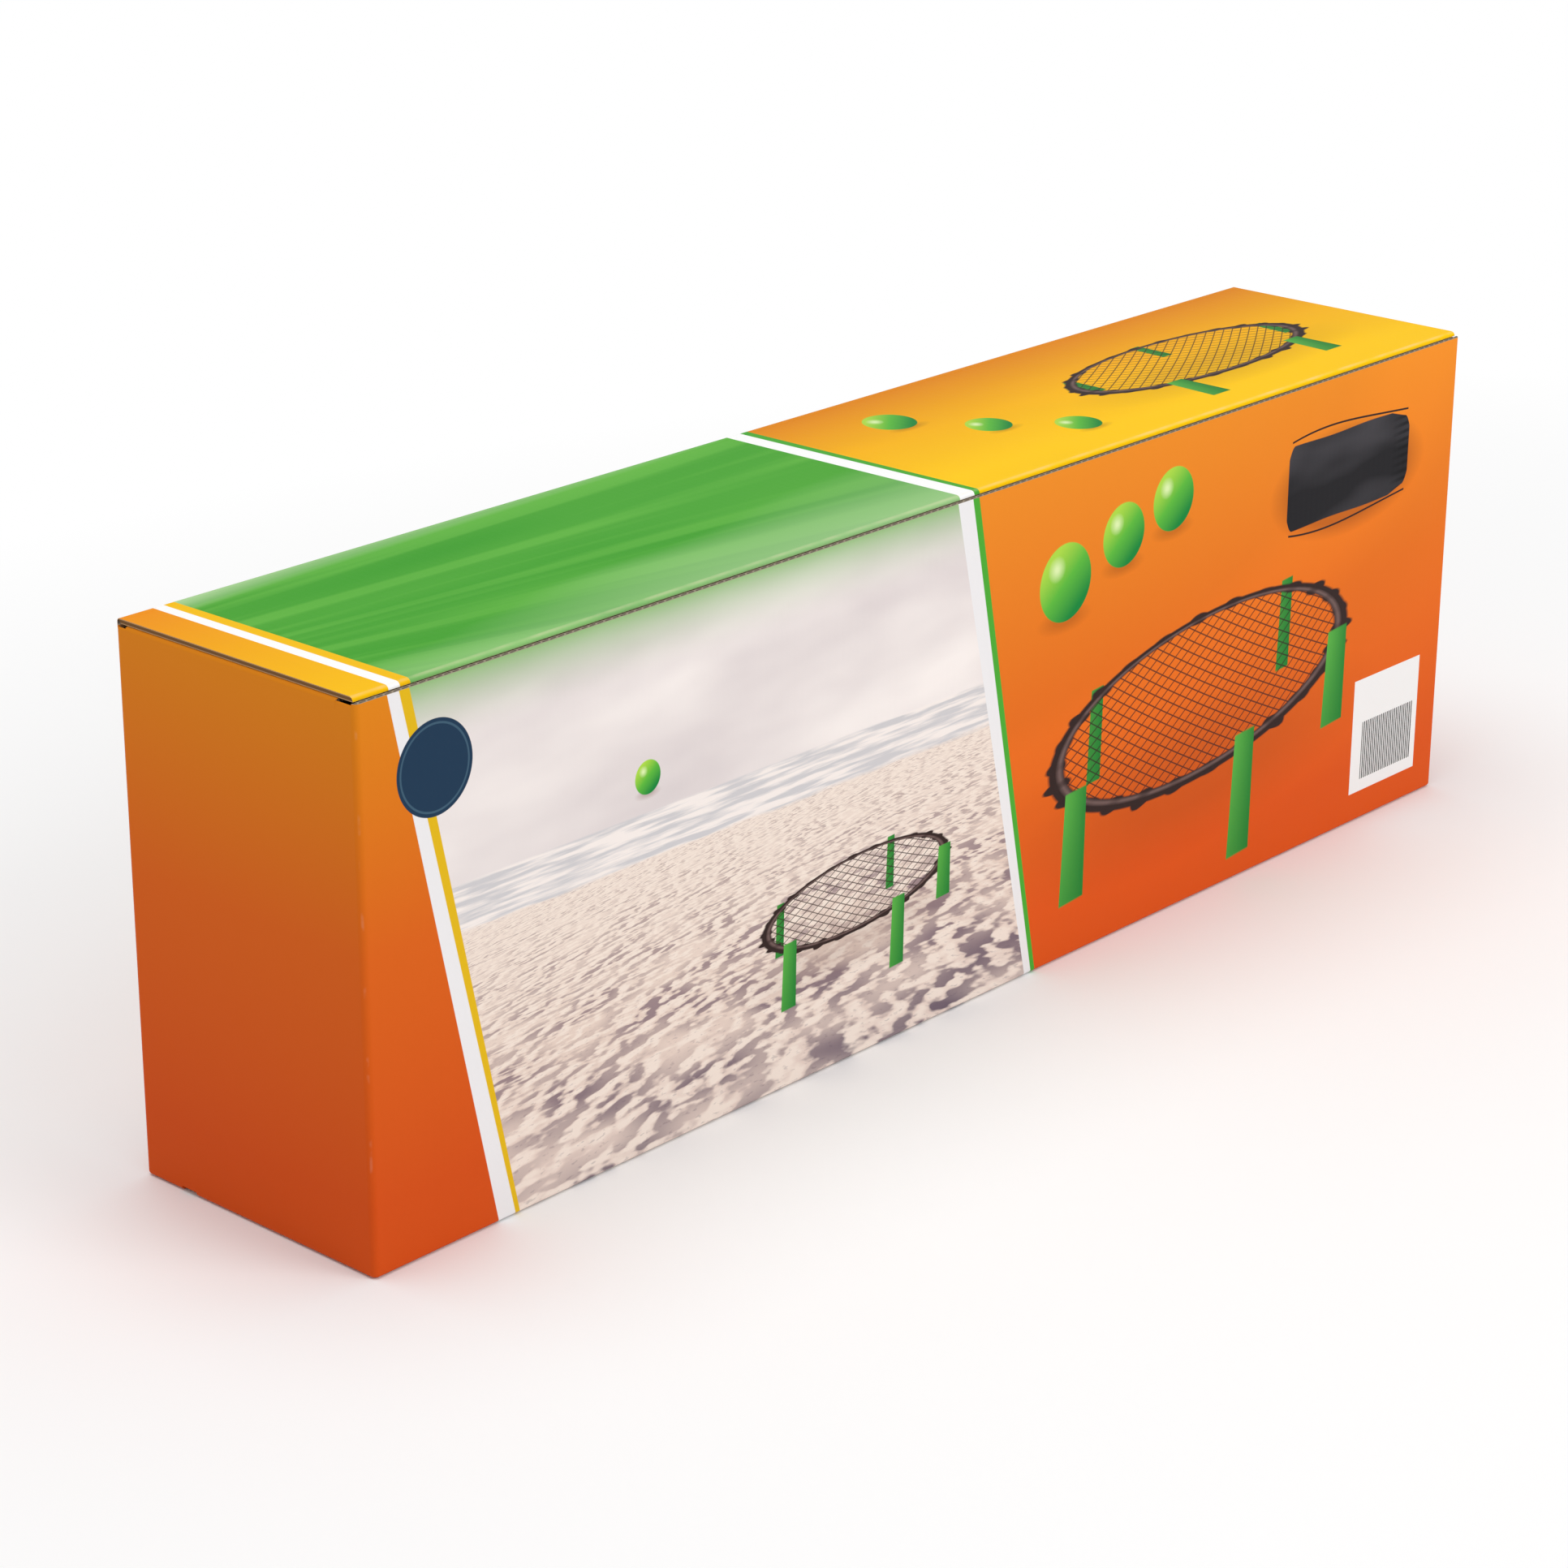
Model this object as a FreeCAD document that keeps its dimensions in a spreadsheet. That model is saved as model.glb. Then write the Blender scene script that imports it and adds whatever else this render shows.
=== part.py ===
import FreeCAD, Part
import math
import os
import Sketcher

# A roundnet set packed in its carton, lid shut, in millimetres.
# The origin is the middle of the underside. X runs along the carton with the left end at -X,
# the front wall faces -Y, and Z is up.

Vector = FreeCAD.Vector
Placement = FreeCAD.Placement
Rotation = FreeCAD.Rotation

SIZES = [
    ("carton_length", 580, "outside, end to end"),
    ("carton_depth", 109, "outside, front to back"),
    ("carton_height", 189, "floor to the top of the lid"),
    ("board", 1.6, "thickness of the fluted board"),
    ("corner_round", 2.2, "outer radius of the upright corners"),
    ("fold_round", 1.2, "outer radius of the other folds"),
    ("flap_gap", 0.2, "air between stacked or meeting flaps"),
    ("lid_inset", 1.0, "the lid stops this short of each end"),
    ("tuck_play", 0.3, "air between the tuck flap and the front wall"),
    ("tuck_length", 34, "depth of the tuck flap"),
    ("tuck_side_play", 1.5, "air between the tuck flap and each end wall"),
    ("tuck_corner", 12, "corner radius of the tuck flap"),
    ("tuck_tilt", 5, "degrees that the tuck flap leans in"),
    ("dust_length", 46, "reach of a dust flap from its end wall"),
    ("dust_front_root", 6.5, "front relief at the crease"),
    ("dust_front_tip", 11, "front relief at the tip"),
    ("dust_back_root", 3, "back relief at the crease"),
    ("dust_back_tip", 20, "back relief at the tip"),
    ("dust_corner", 8, "cut across a dust flap's corners"),
    ("seam_width", 30, "glued flap inside the right end wall"),
    ("seam_taper", 14, "slope at its top and bottom"),
    ("nick_width", 7, "nick in the left end's bottom edge"),
    ("nick_height", 1.4, "height of the nick"),
    ("nick_from_back", 21.5, "nick's middle from the back face"),
    ("bottom_front_reach", 66, "front bottom flap, from the wall"),
    ("bottom_back_reach", 72, "back bottom flap, from the wall"),
    ("bottom_end_reach", 95, "end bottom flap, from the wall"),
    ("bottom_end_relief", 12, "long flaps stop this short of the end walls"),
    ("bottom_step", 8, "run in which a bottom flap climbs a layer"),
    ("tab_width", 240, "lock tab of the front bottom flap"),
    ("tab_reach", 27, "lock tab beyond the flap's edge"),
    ("tab_play", 2, "slot wider than the tab by this each way"),
    ("rim_radius", 440, "centre line of the assembled rim"),
    ("rim_pieces", 5, "pieces that make the rim"),
    ("tube_radius", 10, "outside radius of the rim tube"),
    ("tube_wall", 1.6, "wall of the rim tube"),
    ("spigot_play", 0.2, "radial play of a spigot in the next tube"),
    ("spigot_wall", 1.6, "wall of the swaged spigot"),
    ("spigot_length", 42, "spigot along the rim"),
    ("collar_radius", 12, "outside radius of a peg's collar"),
    ("collar_length", 25, "collar along the rim"),
    ("pegs_per_piece", 6, "net pegs on each rim piece"),
    ("peg_reach", 23, "peg tip from the tube's centre line"),
    ("peg_root", 16, "width of a peg at the collar"),
    ("peg_neck", 8.5, "width of a peg under its barb"),
    ("peg_barb", 11.5, "width across the barb"),
    ("peg_thickness", 7, "peg along the rim's radius"),
    ("leg_height", 190, "floor to the top of the saddle"),
    ("leg_width", 75, "width of a leg at its saddle"),
    ("leg_waist", 69, "width at its waist"),
    ("leg_depth", 28, "front plate to the back of the cheeks"),
    ("leg_foot_depth", 19, "depth at the foot"),
    ("leg_foot_rise", 34, "height of the sloped part of the foot"),
    ("leg_wall", 2.4, "moulded wall"),
    ("leg_rib", 1.8, "thickness of the inner ribs"),
    ("leg_rib_count", 4, "cross ribs above the foot"),
    ("saddle_play", 0.4, "radial play of the tube in the saddle"),
    ("saddle_lip", 7, "drop of the saddle's rear lip"),
    ("training_radius", 52, "training ball as shipped, unblown"),
    ("match_radius", 43, "match ball as shipped, unblown"),
    ("ball_skin", 2.4, "thickness of a ball's skin"),
    ("dimple_share", 0.15, "pushed-in side, share of the radius past the centre"),
    ("valve_radius", 6, "radius of the valve patch"),
    ("barrel_radius", 11, "pump barrel, outside"),
    ("barrel_bore", 9.2, "pump barrel, bore radius"),
    ("barrel_length", 128, "pump barrel, without its caps"),
    ("grip_radius", 13, "pump's end cap and handle"),
    ("cap_length", 14, "pump's end cap"),
    ("nozzle_radius", 4.5, "nozzle on the end cap"),
    ("nozzle_length", 7, "nozzle on the end cap"),
    ("nozzle_bore", 2.6, "bore for the needle's thread"),
    ("handle_length", 34, "pump handle along the rod"),
    ("handle_lead", 2, "handle stands this far off the barrel"),
    ("rod_radius", 3.5, "pump rod"),
    ("rod_play", 0.3, "rod in the barrel's end wall"),
    ("piston_play", 0.3, "piston in the bore"),
    ("piston_length", 9, "piston"),
    ("piston_lead", 6, "piston off the end cap when pushed in"),
    ("needle_length", 34, "ball needle's thin tube"),
    ("needle_radius", 1.2, "ball needle's thin tube, outside"),
    ("needle_bore", 0.5, "its bore"),
    ("needle_base", 3.6, "radius of the needle's threaded base"),
    ("needle_base_length", 9, "length of that base"),
    ("leaflet_length", 128, "folded leaflet"),
    ("leaflet_width", 90, "folded leaflet"),
    ("leaflet_thickness", 1.4, "folded leaflet"),
    ("nest_alike", 22.4, "rise of a rim piece on one whose collars it meets"),
    ("nest_crossed", 19.15, "rise of a rim piece on one whose collars it misses"),
    ("pack_play", 0.4, "air between the contents and the walls"),
    ("seat_play", 0.1, "air under a piece that rests on another"),
    ("end_play", 0.6, "air between legs in a row"),
    ("soft_play", 0.3, "air round the soft contents"),
    ("soft_side", 20, "the bag and the net lie this far from the balls"),
    ("soft_end", 246, "the bag and the net end this far from the middle"),
    ("collar_edge", 0.8, "lift of the middle ball by the collars beside it"),
    ("pump_from_left", 62, "pump's nozzle tip from the left end wall"),
    ("pump_sink", 0.6, "the pump's collars sink this far into the legs' waists"),
    ("needle_from_right", 90, "needle's tip from the right end wall"),
]

doc = FreeCAD.newDocument("roundnet_set")
sheet = doc.addObject("Spreadsheet::Sheet", "Sizes")
for row, (alias, number, note) in enumerate(SIZES, start=1):
    sheet.set(f"A{row}", alias)
    sheet.set(f"B{row}", str(number))
    sheet.set(f"C{row}", note)
    sheet.setAlias(f"B{row}", alias)
doc.recompute()


class Size:
    """A size that keeps both its number and the sheet formula it comes from."""

    def __init__(self, formula, number):
        self.formula = formula
        self.number = number

    def __add__(self, other):
        other = as_size(other)
        return Size(f"({self.formula} + {other.formula})", self.number + other.number)

    def __sub__(self, other):
        other = as_size(other)
        return Size(f"({self.formula} - {other.formula})", self.number - other.number)

    def __mul__(self, other):
        other = as_size(other)
        return Size(f"({self.formula} * {other.formula})", self.number * other.number)

    def __truediv__(self, other):
        other = as_size(other)
        return Size(f"({self.formula} / {other.formula})", self.number / other.number)

    def __neg__(self):
        return as_size(0) - self

    def __radd__(self, other):
        return as_size(other) + self

    def __rsub__(self, other):
        return as_size(other) - self

    def __rmul__(self, other):
        return as_size(other) * self


class Given:
    """The driving sizes by their names in the sheet."""

    def __getattr__(self, alias):
        return Size(f"Sizes.{alias}", float(getattr(sheet, alias)))


def as_size(value):
    """A plain number as a size of its own."""
    if isinstance(value, Size):
        return value
    return Size(f"{float(value)!r}", float(value))


def sine(degrees):
    return Size(f"sin({degrees.formula})", math.sin(math.radians(degrees.number)))


def cosine(degrees):
    return Size(f"cos({degrees.formula})", math.cos(math.radians(degrees.number)))


def root(value):
    return Size(f"sqrt({value.formula})", math.sqrt(value.number))


def along_rim(length):
    """The angle in degrees that a length along the rim's centre line takes."""
    return length / given.rim_radius * (180 / math.pi)


given = Given()

# Faces and levels of the carton that more than one piece meets
half_length = given.carton_length / 2
half_depth = given.carton_depth / 2
inner_end = half_length - given.board
inner_wall = half_depth - given.board
lid_top = given.carton_height
lid_under = lid_top - given.board
wall_top = lid_under - given.flap_gap
dust_under = wall_top - given.board
tuck_crease = inner_wall - given.tuck_play - given.board
layer = given.board + given.flap_gap / 2
HALF_FOLD = 1 - math.sin(math.radians(45))

# Legs, pump and needle lie in the channel along the back wall
leg_floor = layer * 3 + given.board + given.seat_play
leg_back = inner_wall - given.pack_play
leg_front = leg_back - given.leg_depth
legs_top = leg_floor + 2 * given.leg_width + given.seat_play
channel_middle = (leg_front + leg_back) / 2

# Rim pieces: angles along the rim, and the places of the three stacks between front wall and legs
tube_span = as_size(360) / given.rim_pieces
spigot_span = along_rim(given.spigot_length)
rim_start = -(tube_span + spigot_span) / 2
front_stack = -(inner_wall - given.pack_play - given.peg_reach)
back_stack = leg_front - given.pack_play - given.peg_reach
middle_stack = (front_stack + back_stack) / 2
front_low = given.board + given.seat_play + given.collar_radius
back_low = layer * 2 + given.board + given.seat_play + given.collar_radius
between = back_low + given.nest_alike
front_high = between + given.nest_crossed
back_high = between + given.nest_alike
top_ring_centre = back_high + given.rim_radius
cradle_radius = given.rim_radius - given.collar_radius

sub_parts = []


def bind(thing, name, value):
    """Ties a property to its size."""
    thing.setExpression(name, as_size(value).formula)


def new_body(label):
    """A sub-part made of features."""
    body = doc.addObject("PartDesign::Body", label)
    body.Label = label
    sub_parts.append(body)
    return body


def origin_item(body, role):
    return [item for item in body.Origin.OriginFeatures if item.Role == role][0]


def put(body, x=0, y=0, z=0, rotation=None):
    """Sets where a body stands, each coordinate tied to its size."""
    spot = [as_size(value) for value in (x, y, z)]
    turn = rotation or Rotation()
    body.Placement = Placement(Vector(*[value.number for value in spot]), turn)
    for axis, value in zip("xyz", spot):
        bind(body, f"Placement.Base.{axis}", value)


def new_sketch(body, name, plane, offset=0, turn=None):
    """A sketch on one of the body's own planes, moved along its normal, or turned about Z."""
    sketch = body.newObject("Sketcher::SketchObject", name)
    sketch.AttachmentSupport = [(origin_item(body, f"{plane}_Plane"), "")]
    sketch.MapMode = "FlatFace"
    offset = as_size(offset)
    if turn is None:
        sketch.AttachmentOffset = Placement(Vector(0, 0, offset.number), Rotation())
        bind(sketch, "AttachmentOffset.Base.z", offset)
        return sketch
    sideways = offset * sine(turn)
    forwards = offset * cosine(turn)
    spot = Vector(sideways.number, 0, forwards.number)
    sketch.AttachmentOffset = Placement(spot, Rotation(Vector(0, 1, 0), turn.number))
    bind(sketch, "AttachmentOffset.Base.x", sideways)
    bind(sketch, "AttachmentOffset.Base.z", forwards)
    bind(sketch, "AttachmentOffset.Rotation.Angle", turn)
    return sketch


def arc_between(start, end, radius):
    """The arc of under half a turn from start to end, its centre on the left if radius is over 0."""
    chord = end - start
    middle = (start + end) / 2
    height = math.sqrt(max(radius * radius - chord.Length ** 2 / 4, 0))
    side = Vector(-chord.y, chord.x, 0).normalize()
    centre = middle + side * (height if radius > 0 else -height)
    first, last = (start, end) if radius > 0 else (end, start)
    angles = [math.atan2(point.y - centre.y, point.x - centre.x) for point in (first, last)]
    return Part.ArcOfCircle(Part.Circle(centre, Vector(0, 0, 1), abs(radius)), *angles)


def outline(sketch, corners):
    """A closed loop through corners (across, up) or (across, up, radius of the arc to the next)."""
    points = [Vector(as_size(corner[0]).number, as_size(corner[1]).number, 0) for corner in corners]
    radii = [as_size(corner[2]) if len(corner) > 2 else None for corner in corners]
    first = sketch.GeometryCount
    starts, ends = [], []
    for index, radius in enumerate(radii):
        start, end = points[index], points[(index + 1) % len(points)]
        if radius is None:
            sketch.addGeometry(Part.LineSegment(start, end), False)
        else:
            sketch.addGeometry(arc_between(start, end, radius.number), False)
        backwards = radius is not None and radius.number < 0
        starts.append(2 if backwards else 1)
        ends.append(1 if backwards else 2)
    for index in range(len(points)):
        after = (index + 1) % len(points)
        joint = (first + index, ends[index], first + after, starts[after])
        sketch.addConstraint(Sketcher.Constraint("Coincident", *joint))
    for index, corner in enumerate(corners):
        place = (-1, 1, first + index, starts[index])
        for kind, value in zip(("DistanceX", "DistanceY"), corner[:2]):
            value = as_size(value)
            mark = sketch.addConstraint(Sketcher.Constraint(kind, *place, value.number))
            bind(sketch, f"Constraints[{mark}]", value)
    for index, radius in enumerate(radii):
        if radius is not None:
            size = -radius if radius.number < 0 else radius
            mark = sketch.addConstraint(Sketcher.Constraint("Radius", first + index, size.number))
            bind(sketch, f"Constraints[{mark}]", size)


def ring(sketch, across, up, *radii):
    """Circles about one centre: one gives a disc, two a ring."""
    across, up = as_size(across), as_size(up)
    for radius in radii:
        centre = Vector(across.number, up.number, 0)
        circle = sketch.addGeometry(Part.Circle(centre, Vector(0, 0, 1), radius.number), False)
        for kind, value in (("DistanceX", across), ("DistanceY", up)):
            mark = sketch.addConstraint(Sketcher.Constraint(kind, -1, 1, circle, 3, value.number))
            bind(sketch, f"Constraints[{mark}]", value)
        mark = sketch.addConstraint(Sketcher.Constraint("Radius", circle, radius.number))
        bind(sketch, f"Constraints[{mark}]", radius)


def box_corners(left, low, right, high):
    return [(left, low), (right, low), (right, high), (left, high)]


def round_box_corners(across, up, radius):
    """A rectangle about the origin, half as wide as across and half as high as up, corners rounded."""
    return [
        (radius - across, -up),
        (across - radius, -up, radius),
        (across, radius - up),
        (across, up - radius, radius),
        (across - radius, up),
        (radius - across, up, radius),
        (-across, up - radius),
        (-across, radius - up, radius),
    ]


def mirrored(corners):
    """The same loop on the other side of the upright axis, still running anticlockwise."""
    count = len(corners)
    flipped = []
    for index in range(count):
        corner = corners[count - 1 - index]
        arc = corners[(count - 2 - index) % count][2:]
        flipped.append((-as_size(corner[0]), corner[1], *arc))
    return flipped


def stretch(body, kind, sketch, length, both_ways=False, backwards=False):
    """A Pad or a Pocket of a sketch."""
    feature = body.newObject(f"PartDesign::{kind}", f"{kind}_{sketch.Name}")
    feature.Profile = sketch
    feature.Reversed = backwards
    if both_ways:
        feature.SideType = "Symmetric"
    bind(feature, "Length", length)
    sketch.Visibility = False
    return feature


def spin(body, kind, sketch, axis, angle=360):
    """A Revolution or a Groove of a sketch about one of the body's own axes."""
    feature = body.newObject(f"PartDesign::{kind}", f"{kind}_{sketch.Name}")
    feature.Profile = sketch
    feature.ReferenceAxis = (origin_item(body, f"{axis}_Axis"), [""])
    bind(feature, "Angle", angle)
    return feature


def repeat_mirrored(body, feature, plane):
    """The same feature again on the other side of one of the body's planes."""
    mirror = body.newObject("PartDesign::Mirrored", f"Mirrored_{feature.Name}")
    mirror.Originals = [feature]
    mirror.MirrorPlane = (origin_item(body, f"{plane}_Plane"), [""])
    body.Tip = mirror
    return mirror


def carton_sleeve():
    """Front, back and end walls in one ring, glued at the right end, cut to the flaps at the top."""
    body = new_body("carton_sleeve")
    walls = new_sketch(body, "sleeve_walls", "XY")
    outline(walls, round_box_corners(half_length, half_depth, given.corner_round))
    outline(walls, box_corners(-inner_end, -inner_wall, inner_end, inner_wall))
    stretch(body, "Pad", walls, given.carton_height)
    doc.recompute()
    ring_wall = body.Tip
    edges = []
    for number, edge in enumerate(ring_wall.Shape.Edges, start=1):
        middle = edge.BoundBox.Center
        flat = edge.BoundBox.ZMax < given.board.number / 10
        outside = abs(middle.x) > inner_end.number + 0.5 or abs(middle.y) > inner_wall.number + 0.5
        if flat and outside:
            edges.append(f"Edge{number}")
    fillet = body.newObject("PartDesign::Fillet", "sleeve_bottom_fold")
    fillet.Base = (ring_wall, edges)
    bind(fillet, "Radius", given.fold_round)

    seam = new_sketch(body, "sleeve_seam", "YZ", inner_end)
    seam_edge = inner_wall - given.seam_width
    seam_low = 3 * layer + given.board
    seam_high = dust_under - given.board
    outline(seam, [
        (seam_edge, seam_low + given.seam_taper),
        (inner_wall, seam_low),
        (inner_wall, seam_high),
        (seam_edge, seam_high - given.seam_taper),
    ])
    stretch(body, "Pad", seam, given.board, backwards=True)

    top = new_sketch(body, "sleeve_top", "YZ")
    fold = given.fold_round
    outline(top, [
        (-half_depth - given.board, wall_top),
        (inner_wall, wall_top),
        (half_depth - fold * HALF_FOLD, lid_top - fold * HALF_FOLD - given.flap_gap, -fold),
        (half_depth, lid_top - fold - given.flap_gap),
        (half_depth + given.board, lid_top - fold - given.flap_gap),
        (half_depth + given.board, lid_top + given.board),
        (-half_depth - given.board, lid_top + given.board),
    ])
    stretch(body, "Pocket", top, given.carton_length * 2, both_ways=True)

    crease = new_sketch(body, "sleeve_dust_crease", "XZ")
    outline(crease, [
        (-half_length - given.board, wall_top - fold - given.flap_gap),
        (-half_length, wall_top - fold - given.flap_gap, -fold),
        (fold * HALF_FOLD - half_length, wall_top - fold * HALF_FOLD - given.flap_gap),
        (-inner_end, dust_under - given.flap_gap),
        (-inner_end, wall_top + given.board),
        (-half_length - given.board, wall_top + given.board),
    ])
    cut = stretch(body, "Pocket", crease, inner_wall * 2, both_ways=True)
    repeat_mirrored(body, cut, "YZ")

    nick = new_sketch(body, "sleeve_nick", "YZ", -half_length)
    nick_middle = half_depth - given.nick_from_back
    half_nick = given.nick_width / 2
    outline(nick, box_corners(nick_middle - half_nick, -given.board,
                              nick_middle + half_nick, given.nick_height))
    stretch(body, "Pocket", nick, given.board * 2, both_ways=True)


def lid_panel():
    """The top panel, hinged on the back wall, with the rounded fold of its front edge."""
    body = new_body("lid_panel")
    side = new_sketch(body, "lid_section", "YZ")
    fold = given.fold_round
    outline(side, [
        (-tuck_crease - given.board, lid_under),
        (inner_wall - given.flap_gap, lid_under),
        (half_depth - fold * HALF_FOLD - given.flap_gap, lid_top - fold * HALF_FOLD, fold),
        (half_depth - fold - given.flap_gap, lid_top),
        (-tuck_crease, lid_top, given.board),
    ])
    stretch(body, "Pad", side, given.carton_length - 2 * given.lid_inset, both_ways=True)


def tuck_flap():
    """The flap that hangs from the lid's front fold, leaning in a little inside the front wall."""
    body = new_body("tuck_flap")
    face = new_sketch(body, "tuck_face", "XZ")
    half_width = inner_end - given.tuck_side_play
    corner = given.tuck_corner
    outline(face, [
        (corner - half_width, -given.tuck_length),
        (half_width - corner, -given.tuck_length, corner),
        (half_width, corner - given.tuck_length),
        (half_width, -given.flap_gap),
        (-half_width, -given.flap_gap),
        (-half_width, corner - given.tuck_length, corner),
    ])
    stretch(body, "Pad", face, given.board)
    put(body, 0, -tuck_crease, lid_under, Rotation(Vector(1, 0, 0), given.tuck_tilt.number))
    bind(body, "Placement.Rotation.Angle", given.tuck_tilt)


def dust_flap(label, side):
    """A flap folded in from an end wall, under the lid; side is -1 on the left and 1 on the right."""
    body = new_body(label)
    tip = given.dust_length - inner_end
    corner = given.dust_corner
    front = -(inner_wall - given.dust_front_tip)
    back = inner_wall - given.dust_back_tip
    plan_corners = [
        (-half_length, given.dust_front_root - inner_wall),
        (tip - corner, front),
        (tip, front + corner),
        (tip, back - corner),
        (tip - corner, back),
        (-half_length, inner_wall - given.dust_back_root),
    ]
    fold = given.fold_round
    crease_corners = [
        (-half_length - given.board, dust_under - given.board),
        (-inner_end, dust_under - given.board),
        (-inner_end, dust_under),
        (fold * HALF_FOLD - half_length, wall_top - fold * HALF_FOLD, -fold),
        (fold - half_length, wall_top),
        (fold - half_length, wall_top + given.board),
        (-half_length - given.board, wall_top + given.board),
    ]
    if side > 0:
        plan_corners = mirrored(plan_corners)
        crease_corners = mirrored(crease_corners)
    plan = new_sketch(body, f"{label}_plan", "XY", dust_under)
    outline(plan, plan_corners)
    stretch(body, "Pad", plan, given.board)
    crease = new_sketch(body, f"{label}_crease", "XZ")
    outline(crease, crease_corners)
    stretch(body, "Pocket", crease, given.carton_depth, both_ways=True)


def bottom_flap_front():
    """The outer bottom flap, with the tab that climbs through the back flap's slot and locks."""
    body = new_body("bottom_flap_front")
    plan = new_sketch(body, "bottom_front_plan", "XY")
    half_width = inner_end - given.bottom_end_relief
    edge = given.bottom_front_reach - inner_wall
    outline(plan, box_corners(-half_width, -inner_wall, half_width, edge))
    stretch(body, "Pad", plan, given.board)
    tab = new_sketch(body, "bottom_front_tab", "YZ")
    rise = 3 * layer
    outline(tab, [
        (edge - given.board, 0),
        (edge, 0),
        (edge + given.bottom_step, rise),
        (edge + given.tab_reach, rise),
        (edge + given.tab_reach, rise + given.board),
        (edge + given.bottom_step - given.board / 2, rise + given.board),
        (edge - given.board / 2, given.board),
        (edge - given.board, given.board),
    ])
    stretch(body, "Pad", tab, given.tab_width, both_ways=True)


def bottom_flap_back():
    """The inner bottom flap: it climbs two layers from the back wall and has the tab's slot."""
    body = new_body("bottom_flap_back")
    side = new_sketch(body, "bottom_back_section", "YZ")
    root_run = given.bottom_step
    far = inner_wall - given.bottom_back_reach
    rise = 2 * layer
    outline(side, [
        (inner_wall, 0),
        (inner_wall, given.board),
        (inner_wall - root_run + given.board / 4, given.board),
        (inner_wall - 2 * root_run, rise + given.board),
        (far, rise + given.board),
        (far, rise),
        (inner_wall - 2 * root_run - given.board / 4, rise),
        (inner_wall - root_run, 0),
    ])
    half_width = inner_end - given.bottom_end_relief - given.board * 2
    stretch(body, "Pad", side, half_width * 2, both_ways=True)
    slot = new_sketch(body, "bottom_back_slot", "XY", rise)
    edge = given.bottom_front_reach - inner_wall
    reach = given.tab_width / 2 + given.tab_play
    outline(slot, box_corners(-reach, edge, reach, edge + given.bottom_step + given.tab_play))
    stretch(body, "Pocket", slot, 4 * given.board, both_ways=True)


def bottom_flap_end(label, side):
    """An end bottom flap: it climbs one layer and is cut slanting to its narrower tongue."""
    body = new_body(label)
    start = -inner_end
    far = given.bottom_end_reach - inner_end
    half_step = given.bottom_step / 2
    section = [
        (start, 0),
        (start + half_step, 0),
        (start + given.bottom_step, layer),
        (far, layer),
        (far, layer + given.board),
        (start + given.bottom_step - given.board / 4, layer + given.board),
        (start + half_step - given.board / 4, given.board),
        (start, given.board),
    ]
    root = inner_wall - 4
    tongue = inner_wall - 2 * given.bottom_step - given.board * 4
    shoulder = given.bottom_end_relief + given.board * 2
    trim = [
        (start, root),
        (start + shoulder, tongue),
        (far + given.board, tongue),
        (far + given.board, root + given.board),
        (start, root + given.board),
    ]
    if side > 0:
        section = mirrored(section)
        trim = mirrored(trim)
    profile = new_sketch(body, f"{label}_section", "XZ")
    outline(profile, section)
    stretch(body, "Pad", profile, root * 2, both_ways=True)
    cut_plan = new_sketch(body, f"{label}_trim", "XY")
    outline(cut_plan, trim)
    cut = stretch(body, "Pocket", cut_plan, given.board * 8, both_ways=True)
    repeat_mirrored(body, cut, "XZ")


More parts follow.
